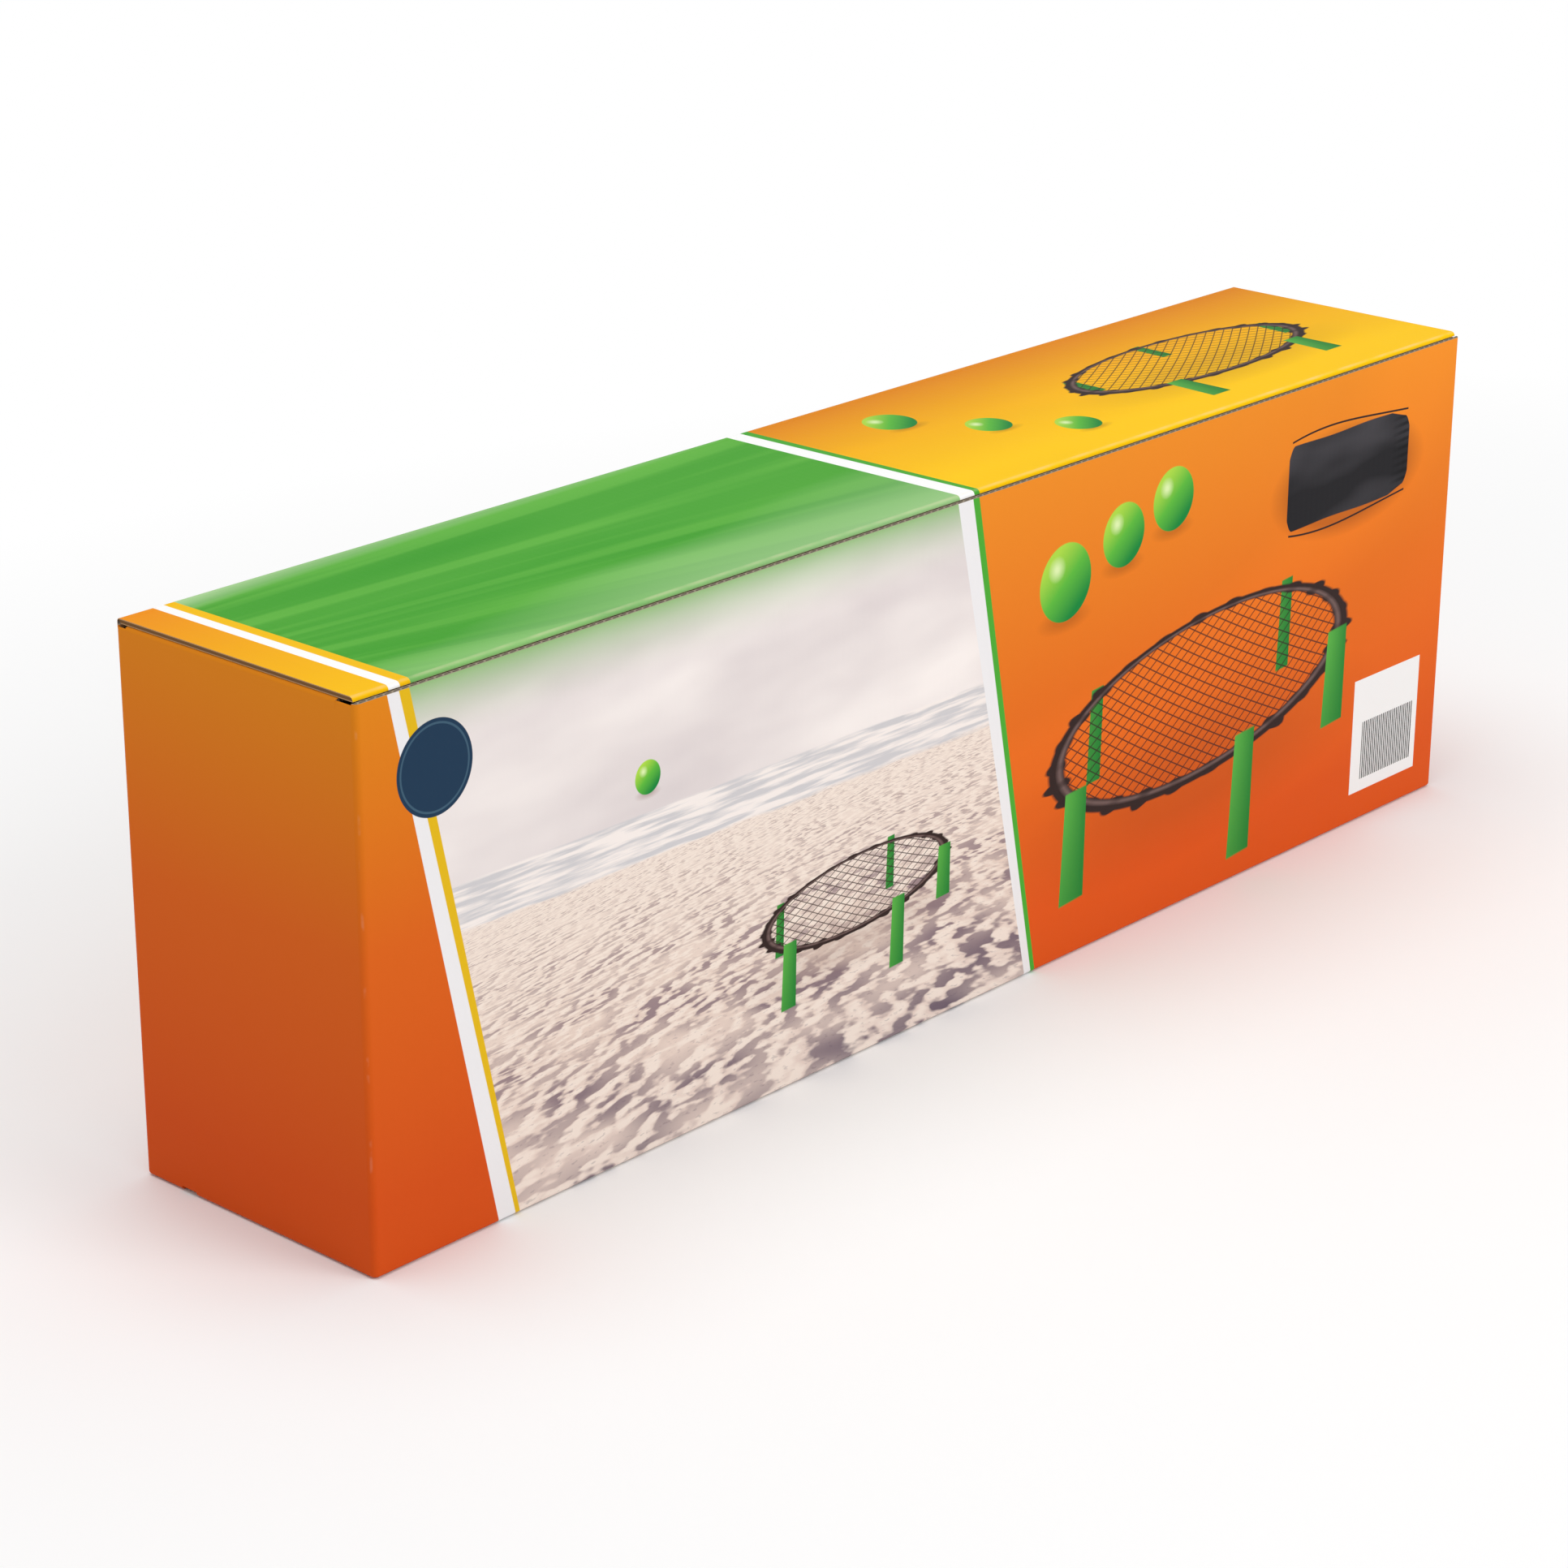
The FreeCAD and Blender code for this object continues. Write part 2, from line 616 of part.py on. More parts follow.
def rim_tube(number, depth, height, pegs_forward):
    """One fifth of the rim: a bent tube with a swaged spigot, and a collar and peg at each net loop."""
    body = new_body(f"rim_tube_{number}")
    bore = given.tube_radius - given.tube_wall
    spigot = bore - given.spigot_play
    overlap = along_rim(given.tube_wall)
    rim_end = rim_start + tube_span

    tube = new_sketch(body, f"tube_{number}", "XZ", 0, rim_start)
    ring(tube, given.rim_radius, 0, given.tube_radius, bore)
    spin(body, "Revolution", tube, "Z", tube_span)
    shoulder = new_sketch(body, f"shoulder_{number}", "XZ", 0, rim_end - overlap)
    ring(shoulder, given.rim_radius, 0, given.tube_radius - given.tube_wall / 4,
         spigot - given.spigot_wall)
    spin(body, "Revolution", shoulder, "Z", overlap)
    swage = new_sketch(body, f"spigot_{number}", "XZ", 0, rim_end - overlap)
    ring(swage, given.rim_radius, 0, spigot, spigot - given.spigot_wall)
    spin(body, "Revolution", swage, "Z", spigot_span + overlap)

    pitch = tube_span / given.pegs_per_piece
    first_peg = rim_start + pitch / 2
    sleeve = new_sketch(body, f"collar_{number}", "XZ", 0, first_peg)
    ring(sleeve, given.rim_radius, 0, given.collar_radius, given.tube_radius - given.tube_wall / 2)
    collar = stretch(body, "Pad", sleeve, given.collar_length, both_ways=True)

    face = new_sketch(body, f"peg_{number}", "YZ", given.rim_radius, first_peg)
    base = -(given.tube_radius - given.tube_wall / 4)
    shank = given.collar_radius + given.tube_wall
    barb = given.peg_reach - given.peg_thickness / 2
    outline(face, [
        (-given.peg_root / 2, base),
        (-given.peg_root / 2, -shank),
        (-given.peg_neck / 2, -barb),
        (-given.peg_barb / 2, -barb),
        (-given.peg_neck / 2, -given.peg_reach),
        (given.peg_neck / 2, -given.peg_reach),
        (given.peg_barb / 2, -barb),
        (given.peg_neck / 2, -barb),
        (given.peg_root / 2, -shank),
        (given.peg_root / 2, base),
    ])
    peg = stretch(body, "Pad", face, given.peg_thickness, both_ways=True)

    pattern = body.newObject("PartDesign::PolarPattern", f"pegs_{number}")
    pattern.Originals = [collar, peg]
    pattern.Axis = (origin_item(body, "Z_Axis"), [""])
    pattern.Occurrences = int(given.pegs_per_piece.number)
    bind(pattern, "Angle", tube_span - pitch)
    bind(pattern, "Occurrences", given.pegs_per_piece)
    body.Tip = pattern

    down = Vector(0, 0, -1)
    if pegs_forward:
        stand = Rotation(down, Vector(-1, 0, 0), Vector(0, 1, 0), "XYZ")
    else:
        stand = Rotation(down, Vector(1, 0, 0), Vector(0, -1, 0), "XYZ")
    put(body, 0, depth, height + given.rim_radius, stand)


def leg(number, left, floor, foot_left):
    """A moulded leg: waisted front plate, saddle over the rim, cheeks, foot and inner ribs."""
    body = new_body(f"leg_{number}")
    wall = given.leg_wall
    seat = given.tube_radius + given.saddle_play
    hood = seat + wall
    hood_height = given.leg_height - hood

    hook = new_sketch(body, f"leg_hook_{number}", "YZ")
    outline(hook, [
        (0, 0),
        (wall, 0),
        (wall, hood_height, -seat),
        (hood, hood_height + seat, -seat),
        (hood + seat, hood_height),
        (hood + seat, hood_height - given.saddle_lip),
        (hood * 2, hood_height - given.saddle_lip),
        (hood * 2, hood_height, hood),
        (hood, given.leg_height, hood),
        (0, hood_height),
    ])
    stretch(body, "Pad", hook, given.leg_width, both_ways=True)

    cheek_top = hood_height - seat * sine(as_size(50))
    cheek_back = hood + seat * cosine(as_size(50))
    half_width = given.leg_width / 2
    cheek = new_sketch(body, f"leg_cheek_{number}", "YZ", half_width - wall)
    outline(cheek, [
        (wall / 2, 0),
        (given.leg_foot_depth, 0),
        (given.leg_foot_depth, wall),
        (given.leg_depth, given.leg_foot_rise),
        (given.leg_depth, hood_height - seat - wall),
        (cheek_back, cheek_top, -seat),
        (hood - seat, hood_height),
        (wall / 2, hood_height),
    ])
    cheek_pad = stretch(body, "Pad", cheek, wall)
    repeat_mirrored(body, cheek_pad, "YZ")

    spine = new_sketch(body, f"leg_spine_{number}", "YZ", given.leg_width / 7)
    spine_depth = given.leg_foot_depth - wall
    outline(spine, [
        (wall / 2, 0),
        (spine_depth, 0),
        (spine_depth, hood_height - seat - wall),
        (wall / 2, hood_height - seat - wall),
    ])
    spine_pad = stretch(body, "Pad", spine, given.leg_rib)
    repeat_mirrored(body, spine_pad, "YZ")

    foot = new_sketch(body, f"leg_foot_{number}", "XY")
    outline(foot, box_corners(-half_width, 0, half_width, given.leg_foot_depth))
    stretch(body, "Pad", foot, wall)

    rib_pitch = hood_height / (given.leg_rib_count + 1)
    rib = new_sketch(body, f"leg_rib_{number}", "XY", rib_pitch)
    rib_back = spine_depth - wall
    outline(rib, box_corners(wall / 2 - half_width, wall / 2, half_width - wall / 2, rib_back))
    rib_pad = stretch(body, "Pad", rib, given.leg_rib)
    ribs = body.newObject("PartDesign::LinearPattern", f"leg_ribs_{number}")
    ribs.Originals = [rib_pad]
    ribs.Direction = (origin_item(body, "Z_Axis"), [""])
    bind(ribs, "Length", rib_pitch * (given.leg_rib_count - 1))
    bind(ribs, "Occurrences", given.leg_rib_count)
    body.Tip = ribs

    waist = new_sketch(body, f"leg_waist_{number}", "XZ")
    dip = (given.leg_width - given.leg_waist) / 2
    reach = given.leg_height - 2 * hood
    bow = (reach * reach / 4 + dip * dip) / (2 * dip)
    outline(waist, [
        (half_width, hood / 2),
        (half_width + wall, hood / 2),
        (half_width + wall, hood / 2 + reach),
        (half_width, hood / 2 + reach, bow),
    ])
    waist_cut = stretch(body, "Pocket", waist, given.leg_depth * 3, both_ways=True)
    repeat_mirrored(body, waist_cut, "YZ")

    foot_end = left + given.leg_height
    if foot_left:
        stand = Rotation(Vector(0, 0, -1), Vector(0, 1, 0), Vector(1, 0, 0), "XYZ")
        foot_end = left
    else:
        stand = Rotation(Vector(0, 0, 1), Vector(0, 1, 0), Vector(-1, 0, 0), "XYZ")
    put(body, foot_end, leg_front, floor + half_width, stand)


def ball(label, radius):
    """A ball as shipped, unblown: half of its skin is pushed in like a bowl, the dome to the front."""
    body = new_body(label)
    lip = radius * given.dimple_share
    edge = root(radius * radius - lip * lip)
    outside = new_sketch(body, f"{label}_outside", "XY")
    outline(outside, [
        (0, -radius, radius),
        (radius, 0, radius),
        (edge, lip, -radius),
        (0, 2 * lip - radius),
    ])
    spin(body, "Revolution", outside, "Y")
    inner = radius - given.ball_skin
    outer_dent = radius + given.ball_skin
    rim_height = lip - given.ball_skin
    inside = new_sketch(body, f"{label}_inside", "XY")
    inner_edge = root(inner * inner - rim_height * rim_height)
    dent_centre = rim_height + root(outer_dent * outer_dent - inner_edge * inner_edge)
    outline(inside, [
        (0, -inner, inner),
        (inner, 0, inner),
        (inner_edge, rim_height, -outer_dent),
        (0, dent_centre - outer_dent),
    ])
    spin(body, "Groove", inside, "Y")
    return body


def packed_ball(label, radius, x, under):
    """A ball in the cradle of the back stack's top piece, of radius under where they touch."""
    body = ball(label, radius)
    depth = given.training_radius - inner_wall + given.tuck_length * sine(given.tuck_tilt)
    depth = depth + 2 * given.board + given.tuck_play
    aside = depth - back_stack
    apart = radius + under + given.seat_play
    reach = given.rim_radius - root(apart * apart - aside * aside)
    put(body, x, depth, top_ring_centre - root(reach * reach - as_size(x) * x))


def balls():
    """The training ball in the middle, a match ball on each side."""
    side = given.training_radius + given.match_radius + given.soft_play
    packed_ball("ball_training", given.training_radius, 0, given.tube_radius + given.collar_edge)
    packed_ball("ball_match_1", given.match_radius, -side, given.tube_radius)
    packed_ball("ball_match_2", given.match_radius, side, given.collar_radius)


def soft_load(label, side, top):
    """A folded soft piece that fills the cradle of the rim pieces beside the balls."""
    body = new_body(label)
    start = given.training_radius + 2 * given.match_radius + given.soft_side
    end = given.soft_end
    reach = cradle_radius - given.soft_play
    low_start = top_ring_centre - root(reach * reach - start * start)
    low_end = top_ring_centre - root(reach * reach - end * end)
    corners = [
        (start, low_start, reach),
        (end, low_end),
        (end, top),
        (start, top),
    ]
    if side < 0:
        corners = mirrored(corners)
    face = new_sketch(body, f"{label}_side", "XZ")
    outline(face, corners)
    front = inner_wall - 3 * given.board - given.tuck_length * sine(given.tuck_tilt)
    back = leg_front - given.soft_play
    stretch(body, "Pad", face, front + back)
    put(body, 0, back, 0)


def leaflet(top):
    """The folded leaflet, flat on the bag."""
    body = new_body("instruction_leaflet")
    plan = new_sketch(body, "leaflet_plan", "XY")
    outline(plan, box_corners(0, 0, given.leaflet_length, given.leaflet_width))
    stretch(body, "Pad", plan, given.leaflet_thickness)
    put(body, -given.soft_end, inner_wall - given.soft_play - given.leaflet_width, top)


def along_x(body, x, height):
    """Lays a turned piece, made upright, along X in the channel where the legs lie."""
    stand = Rotation(Vector(0, 1, 0), Vector(0, 0, 1), Vector(1, 0, 0), "XYZ")
    put(body, x, channel_middle, height, stand)


def pump():
    """The hand pump: barrel, end cap with nozzle, and the rod, piston and handle that slide."""
    tip = given.pump_from_left - inner_end
    barrel_start = tip + given.nozzle_length + given.cap_length
    barrel_end = barrel_start + given.barrel_length
    axis_height = legs_top + given.seat_play - given.pump_sink + given.grip_radius
    rod_hole = given.rod_radius + given.rod_play
    wall = given.barrel_radius - given.barrel_bore

    barrel = new_body("pump_barrel")
    shell = new_sketch(barrel, "barrel_section", "XZ")
    outline(shell, [
        (given.barrel_bore, 0),
        (given.barrel_radius, 0),
        (given.barrel_radius, given.barrel_length - 2 * wall),
        (given.grip_radius, given.barrel_length - 2 * wall),
        (given.grip_radius, given.barrel_length),
        (rod_hole, given.barrel_length),
        (rod_hole, given.barrel_length - wall),
        (given.barrel_bore, given.barrel_length - wall),
    ])
    spin(barrel, "Revolution", shell, "Z")
    along_x(barrel, barrel_start, axis_height)

    cap = new_body("pump_cap")
    cover = new_sketch(cap, "cap_section", "XZ")
    outline(cover, [
        (given.nozzle_bore, 0),
        (given.nozzle_radius, 0),
        (given.nozzle_radius, given.nozzle_length),
        (given.grip_radius - wall, given.nozzle_length),
        (given.grip_radius, given.nozzle_length + wall),
        (given.grip_radius, given.nozzle_length + given.cap_length),
        (given.nozzle_bore, given.nozzle_length + given.cap_length),
    ])
    spin(cap, "Revolution", cover, "Z")
    along_x(cap, tip, axis_height)

    rod_start = barrel_start + given.piston_lead + given.piston_length
    handle_start = barrel_end + given.handle_lead
    rod = new_body("pump_rod")
    stick = new_sketch(rod, "rod_section", "XY")
    ring(stick, 0, 0, given.rod_radius)
    stretch(rod, "Pad", stick, handle_start - rod_start)
    along_x(rod, rod_start, axis_height)

    piston = new_body("pump_piston")
    plunger = new_sketch(piston, "piston_section", "XZ")
    rim = given.barrel_bore - given.piston_play
    outline(plunger, [
        (0, 0),
        (rim, 0),
        (rim, wall),
        (given.rod_radius, 2 * wall),
        (given.rod_radius, given.piston_length - wall),
        (rim - wall, given.piston_length - wall),
        (rim - wall, given.piston_length),
        (0, given.piston_length),
    ])
    spin(piston, "Revolution", plunger, "Z")
    along_x(piston, rod_start - given.piston_length, axis_height)

    handle = new_body("pump_handle")
    grip = new_sketch(handle, "handle_section", "XZ")
    bead = given.handle_length / 4
    outline(grip, [
        (0, 0),
        (given.grip_radius - 2 * wall, 0),
        (given.grip_radius, bead),
        (given.grip_radius - wall, 2 * bead),
        (given.grip_radius, 3 * bead),
        (given.grip_radius - 2 * wall, given.handle_length),
        (0, given.handle_length),
    ])
    spin(handle, "Revolution", grip, "Z")
    along_x(handle, handle_start, axis_height)


def ball_needle():
    """The needle that screws into the pump, lying by itself on the leg in the free place."""
    body = new_body("ball_needle")
    section = new_sketch(body, "needle_section", "XZ")
    neck = given.needle_base_length - given.needle_base / 2
    outline(section, [
        (given.needle_bore, 0),
        (given.nozzle_bore, 0),
        (given.nozzle_bore, given.needle_base_length / 2),
        (given.needle_base, given.needle_base_length / 2),
        (given.needle_base, neck),
        (given.needle_radius, given.needle_base_length),
        (given.needle_radius, given.needle_base_length + given.needle_length),
        (given.needle_bore, given.needle_base_length + given.needle_length),
    ])
    spin(body, "Revolution", section, "Z")
    full = given.needle_length + given.needle_base_length
    height = leg_floor + given.leg_width + given.seat_play + given.needle_base
    along_x(body, inner_end - given.needle_from_right - full, height)


def build():
    """Makes every sub-part."""
    carton_sleeve()
    lid_panel()
    tuck_flap()
    dust_flap("dust_flap_left", -1)
    dust_flap("dust_flap_right", 1)
    bottom_flap_front()
    bottom_flap_back()
    bottom_flap_end("bottom_flap_left", -1)
    bottom_flap_end("bottom_flap_right", 1)

    rim_tube(1, front_stack, front_low, True)
    rim_tube(2, front_stack, front_high, True)
    rim_tube(3, middle_stack, between, False)
    rim_tube(4, back_stack, back_low, False)
    rim_tube(5, back_stack, back_high, False)

    step = given.leg_height + given.end_play
    row_start = given.end_play - inner_end
    second_row = leg_floor + given.leg_width + given.seat_play
    leg(1, row_start, leg_floor, True)
    leg(2, row_start + step, leg_floor, False)
    leg(3, row_start + 2 * step, leg_floor, True)
    leg(4, row_start, second_row, False)
    leg(5, row_start + step, second_row, True)

    balls()
    bag_top = dust_under - given.leaflet_thickness - 2 * given.soft_play
    soft_load("carry_bag", -1, bag_top)
    soft_load("net_bundle", 1, bag_top)
    leaflet(bag_top + given.seat_play)
    pump()
    ball_needle()


def check():
    """Stops if any object failed or any sub-part is not one valid solid."""
    for thing in doc.Objects:
        if "Invalid" in thing.State or "Error" in thing.State:
            raise RuntimeError(f"{thing.Name} did not compute: {thing.State}")
    for part in sub_parts:
        if part.Shape.isNull() or not part.Shape.isValid():
            raise RuntimeError(f"{part.Label} has no valid shape")
        print(f"{part.Label:22s} {len(part.Shape.Solids)} solid {part.Shape.Volume:12.1f} mm3")


build()
doc.recompute()
check()
os.makedirs("parts", exist_ok=True)
for part in sub_parts:
    part.Shape.exportStep(f"parts/{part.Label}.step")
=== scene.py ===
import math

import bmesh
import bpy
import numpy as np
from bpy.props import FloatProperty, FloatVectorProperty, IntProperty, PointerProperty
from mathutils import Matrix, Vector


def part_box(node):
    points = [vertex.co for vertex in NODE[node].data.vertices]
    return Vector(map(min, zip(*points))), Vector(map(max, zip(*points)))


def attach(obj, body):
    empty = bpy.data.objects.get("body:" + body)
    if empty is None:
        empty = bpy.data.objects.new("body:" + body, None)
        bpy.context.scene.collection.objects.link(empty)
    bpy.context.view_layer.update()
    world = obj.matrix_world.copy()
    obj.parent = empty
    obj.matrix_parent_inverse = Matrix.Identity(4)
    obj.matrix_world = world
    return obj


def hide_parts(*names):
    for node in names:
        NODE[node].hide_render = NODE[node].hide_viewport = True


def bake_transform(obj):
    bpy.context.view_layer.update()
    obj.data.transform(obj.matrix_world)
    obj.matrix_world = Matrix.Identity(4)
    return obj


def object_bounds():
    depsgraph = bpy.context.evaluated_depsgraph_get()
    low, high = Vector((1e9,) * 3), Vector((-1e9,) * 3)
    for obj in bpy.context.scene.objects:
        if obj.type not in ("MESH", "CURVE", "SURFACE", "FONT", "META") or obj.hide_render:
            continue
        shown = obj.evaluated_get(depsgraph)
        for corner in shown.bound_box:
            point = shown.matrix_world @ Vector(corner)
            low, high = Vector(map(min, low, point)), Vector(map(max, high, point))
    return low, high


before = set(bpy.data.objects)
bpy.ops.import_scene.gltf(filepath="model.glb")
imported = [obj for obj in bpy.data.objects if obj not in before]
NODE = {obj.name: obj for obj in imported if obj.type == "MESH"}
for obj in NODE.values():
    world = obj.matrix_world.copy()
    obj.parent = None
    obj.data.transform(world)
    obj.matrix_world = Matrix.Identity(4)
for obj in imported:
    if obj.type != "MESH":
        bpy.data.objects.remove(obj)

bl_info = {
    "name": "Roundnet set in its carton",
    "version": (1, 0, 0),
    "blender": (4, 5, 0),
    "location": "View3D > Sidebar > Roundnet",
    "description": "Looks for a printed carton packed with a roundnet set",
    "category": "Object",
}

CAD_BOX = [list(corner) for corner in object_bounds()]
MM = 0.001


def corners(name):
    """The lowest and the highest corner of a solid's box at rest, in millimetres."""
    return [np.round(np.array(corner) / MM, 3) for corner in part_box(name)]


# Outside of the carton, in millimetres: half its length, half its depth and its height
HALF_LENGTH, HALF_DEPTH, HEIGHT = (round(size / MM, 3) for size in CAD_BOX[1])

# The board's thickness, the pitch of its flutes, the radius of its bends, the air between flaps that
# meet and how far a fold's liner stands proud of its bend, in millimetres
BOARD, FLUTE, BEND, GAP, PROUD = 1.6, 3.4, 1.2, 0.2, 0.03
# The top of the front wall and the end walls, under the lid
WALL_TOP = HEIGHT - BOARD - GAP

# Where the fold liners end: the back one along the length and the dust flaps' along the depth
BACK_FOLD_ENDS = (1.1 - HALF_LENGTH, HALF_LENGTH - 1.1)
DUST_FOLD_ENDS = (-46.0, 49.6)
# Where the lid's crease line lies, just behind its front fold: rubbed board with a painted highlight
LID_CREASE = -51.6

# Where the folded bag's hem lies, as a share of its half length
HEM = 0.38

# The round net laid out flat, in its own unit: its radius, how far out its last cords run, and the
# angle by which one unit of it bends down round the bundle
SHEET, OUTER_CORD, WRAP = 1.98, 1.9, 1.55
# How far a step along a diagonal goes each way
DIAGONAL = 0.7071
# How deep the bundle's core and its two layers of cords lie inside their solid, in millimetres
CORE_DEPTH, CORD_DEPTHS = 3.6, (2.9, 1.7)

# The radius of the rim pieces' bend and that of their collars, in millimetres
RIM_BEND, RIM_COLLAR = 440.0, 12.0

BOTTOM_FLAPS = [f"bottom_flap_{side}" for side in ("left", "right", "front", "back")]
RIMS = [f"rim_tube_{number}" for number in range(1, 6)]
LEGS = [f"leg_{number}" for number in range(1, 6)]

# Where each field of a long panel and of the lid starts, from its left end along its top edge, and
# how far that edge of the field runs aside for each millimetre down
FRONT_BANDS = ((12.3, 0.215), (17.0, 0.229), (21.2, 0.217),
               (273.3, 0.23), (281.2, 0.2075), (284.5, 0.202))
LID_BANDS = ((14.4, 0.007), (18.6, 0.01), (22.8, 0.01),
             (275.3, 0.015), (282.2, 0.022), (285.9, 0.0135))

# How far down the long panels' plain fields shade, and where the rays of the lid's green meet
FIELD_SHADE = 165.0
RAYS_MEET = (-260.0, 20.0)
# The shore picture's horizon, its water line and the middle of its view
HORIZON, BEACH, VIEW_MIDDLE = 70.0, 88.0, 150.0

# The drawn nets: the middle from the panel's upper left corner, how flat the ring looks, how far the
# legs hang as a share of its half width, the legs' turns round the ring and the ring's tilt
SHORE_NET = {"middle": (224.0, 128.0), "flat": 0.293, "drop": 0.37,
             "turns": (212, 292, 2, 62, 138), "tilt": -0.05}
FRONT_NET = {"middle": (420.0, 108.0), "flat": 0.352, "drop": 0.364,
             "turns": (222, 305, 12, 72, 150), "tilt": -0.08}
LID_NET = {"middle": (476.0, 54.0), "flat": 0.333, "drop": 0.227,
           "turns": (205, 268, 335, 40, 118), "tilt": 0.0}
# The drawn balls, by middle and radius, and the places of the pouch, the badge, the label and its bars
SHORE_BALL = ((122.0, 58.0), 5.8)
FRONT_BALLS = (((334.0, 44.0), 14.5), ((367.0, 34.0), 12.0), ((396.0, 27.0), 12.0))
LID_BALLS = (((330.0, 30.0), 10.0), ((352.0, 58.0), 8.6), ((376.0, 80.0), 8.6))
POUCH_PLACE = (508.0, 40.0)
BADGE_PLACE = (30.9, 29.6)
LABEL_ACROSS, LABEL_DOWN = (520.6, 565.8), (129.5, 177.0)
BARS_ACROSS, BARS_DOWN, BAR_PITCH = (527.5, 562.4), (148.0, 172.0), 1.32


# Shader arithmetic

class Wire:
    """A node's socket that takes part in Python sums."""

    def __init__(self, nodes, socket):
        self.nodes = nodes
        self.socket = socket

    def math(self, operation, *others, clamp=False):
        settings = {"operation": operation, "use_clamp": clamp}
        return self.nodes.node("ShaderNodeMath", settings, (self, *others))

    def __add__(self, other):
        return self.math("ADD", other)

    def __sub__(self, other):
        return self.math("SUBTRACT", other)

    def __mul__(self, other):
        return self.math("MULTIPLY", other)

    def __truediv__(self, other):
        return self.math("DIVIDE", other)

    def __rsub__(self, other):
        return self.nodes.number(other) - self

    def __rtruediv__(self, other):
        return self.nodes.number(other) / self

    def __neg__(self):
        return self * -1.0

    def __abs__(self):
        return self.math("ABSOLUTE")

    __radd__ = __add__
    __rmul__ = __mul__

    def line(self, gain, start, clamp=False):
        """This times the gain, plus the start."""
        return self.math("MULTIPLY_ADD", gain, start, clamp=clamp)

    def high(self, other):
        return self.math("MAXIMUM", other)

    def reach(self, other):
        """How far the point with these two coordinates is from nought."""
        return (self * self + other * other).root()

    def sin(self):
        return self.math("SINE")

    def root(self):
        return self.math("SQRT")

    def fraction(self):
        return self.math("FRACT")

    def over(self, limit, soft=0.2):
        """1 where this is above the limit and 0 below it, blurred over soft."""
        if isinstance(limit, Wire):
            return (self - limit).line(1 / soft, 0.5, clamp=True)
        return self.line(1 / soft, 0.5 - limit / soft, clamp=True)

    def under(self, limit, soft=0.2):
        return 1.0 - self.over(limit, soft)

    def between(self, low, high, soft=0.2):
        return self.over(low, soft) * self.under(high, soft)


class Nodes:
    """The node tree of a material or a world, emptied and ready to be filled."""

    def __init__(self, owner):
        owner.use_nodes = True
        self.tree = owner.node_tree
        self.tree.nodes.clear()

    def node(self, kind, settings=None, inputs=(), output=0):
        """Adds a node, sets its options and feeds its sockets with values or wires."""
        node = self.tree.nodes.new(kind)
        for name, value in (settings or {}).items():
            setattr(node, name, value)
        pairs = inputs.items() if isinstance(inputs, dict) else enumerate(inputs)
        for key, value in pairs:
            if isinstance(value, Wire):
                self.tree.links.new(value.socket, node.inputs[key])
            else:
                node.inputs[key].default_value = value
        return Wire(self, node.outputs[output]) if node.outputs else None

    def number(self, value):
        """A wire that carries one plain number."""
        return self.node("ShaderNodeMath", {"operation": "ADD"}, (float(value), 0.0))


class Shader(Nodes):
    """A procedural material that reads a point's place in millimetres."""

    def __init__(self, name, attribute=None):
        self.material = bpy.data.materials.new(name)
        super().__init__(self.material)
        if attribute:
            place = self.node("ShaderNodeAttribute", {"attribute_name": attribute}, output="Vector")
        else:
            place = self.node("ShaderNodeTexCoord", output="Object")
        self.place = self.node("ShaderNodeVectorMath", {"operation": "SCALE"},
                               {0: place, "Scale": 1 / MM})
        self.x, self.y, self.z = (
            self.node("ShaderNodeSeparateXYZ", inputs=(self.place,), output=index)
            for index in range(3))

    def mix(self, first, second, share):
        """The first colour where share is 0 and the second where it is 1."""
        return self.node("ShaderNodeMix", {"data_type": "RGBA"}, {0: share, 6: first, 7: second},
                         output=2)

    def vector(self, x, y, z):
        return self.node("ShaderNodeCombineXYZ", inputs=(x, y, z))

    def noise(self, scale, detail, place=None, rough=0.5):
        """Soft noise from 0 to 1, with scale in waves per millimetre.

        It is read at the point's own place, or at a place given as a wire or as three coordinates.
        """
        if isinstance(place, tuple):
            place = self.vector(*place)
        inputs = {"Vector": place or self.place, "Scale": scale, "Detail": detail, "Roughness": rough}
        return self.node("ShaderNodeTexNoise", inputs=inputs)

    def fade(self, value, start, end, *colours):
        """A run of colours at equal steps as value goes from start to end."""
        step = (end - start) / (len(colours) - 1)
        result = colours[0]
        for index, colour in enumerate(colours[1:]):
            low = start + index * step
            result = self.mix(result, colour, value.line(1 / step, -low / step, clamp=True))
        return result

    def finish(self, colour, roughness, height, depth, **constants):
        """Closes the material with the standard surface; depth is that of the bump, in millimetres."""
        bump = self.node("ShaderNodeBump", inputs={
            "Strength": 1.0, "Distance": depth * MM, "Height": height})
        inputs = {"Base Color": colour, "Roughness": roughness, "Normal": bump}
        inputs.update((name.replace("_", " "), value) for name, value in constants.items())
        surface = self.node("ShaderNodeBsdfPrincipled", inputs=inputs)
        self.node("ShaderNodeOutputMaterial", inputs={"Surface": surface})
        return self.material


def ink(red, green, blue):
    """A colour from its 8-bit screen values, as linear light."""
    def linear(value):
        value = value / 255
        return value / 12.92 if value <= 0.04045 else ((value + 0.055) / 1.055) ** 2.4
    return (linear(red), linear(green), linear(blue), 1.0)


def washed(shader, u, v, scale, amount):
    """Wide soft streaks, from 1 - amount to 1 + amount, as a brush or a gradient tool leaves them."""
    wave = shader.noise(scale, 1.0, (u * 0.25 + v * 0.55, v * 1.6 - u * 0.28, 0.0))
    return wave.line(2 * amount, 1 - amount)


def tinted(shader, colour, gain):
    """A colour made lighter or darker by a wire."""
    return shader.node("ShaderNodeVectorMath", {"operation": "SCALE"}, {0: colour, "Scale": gain})


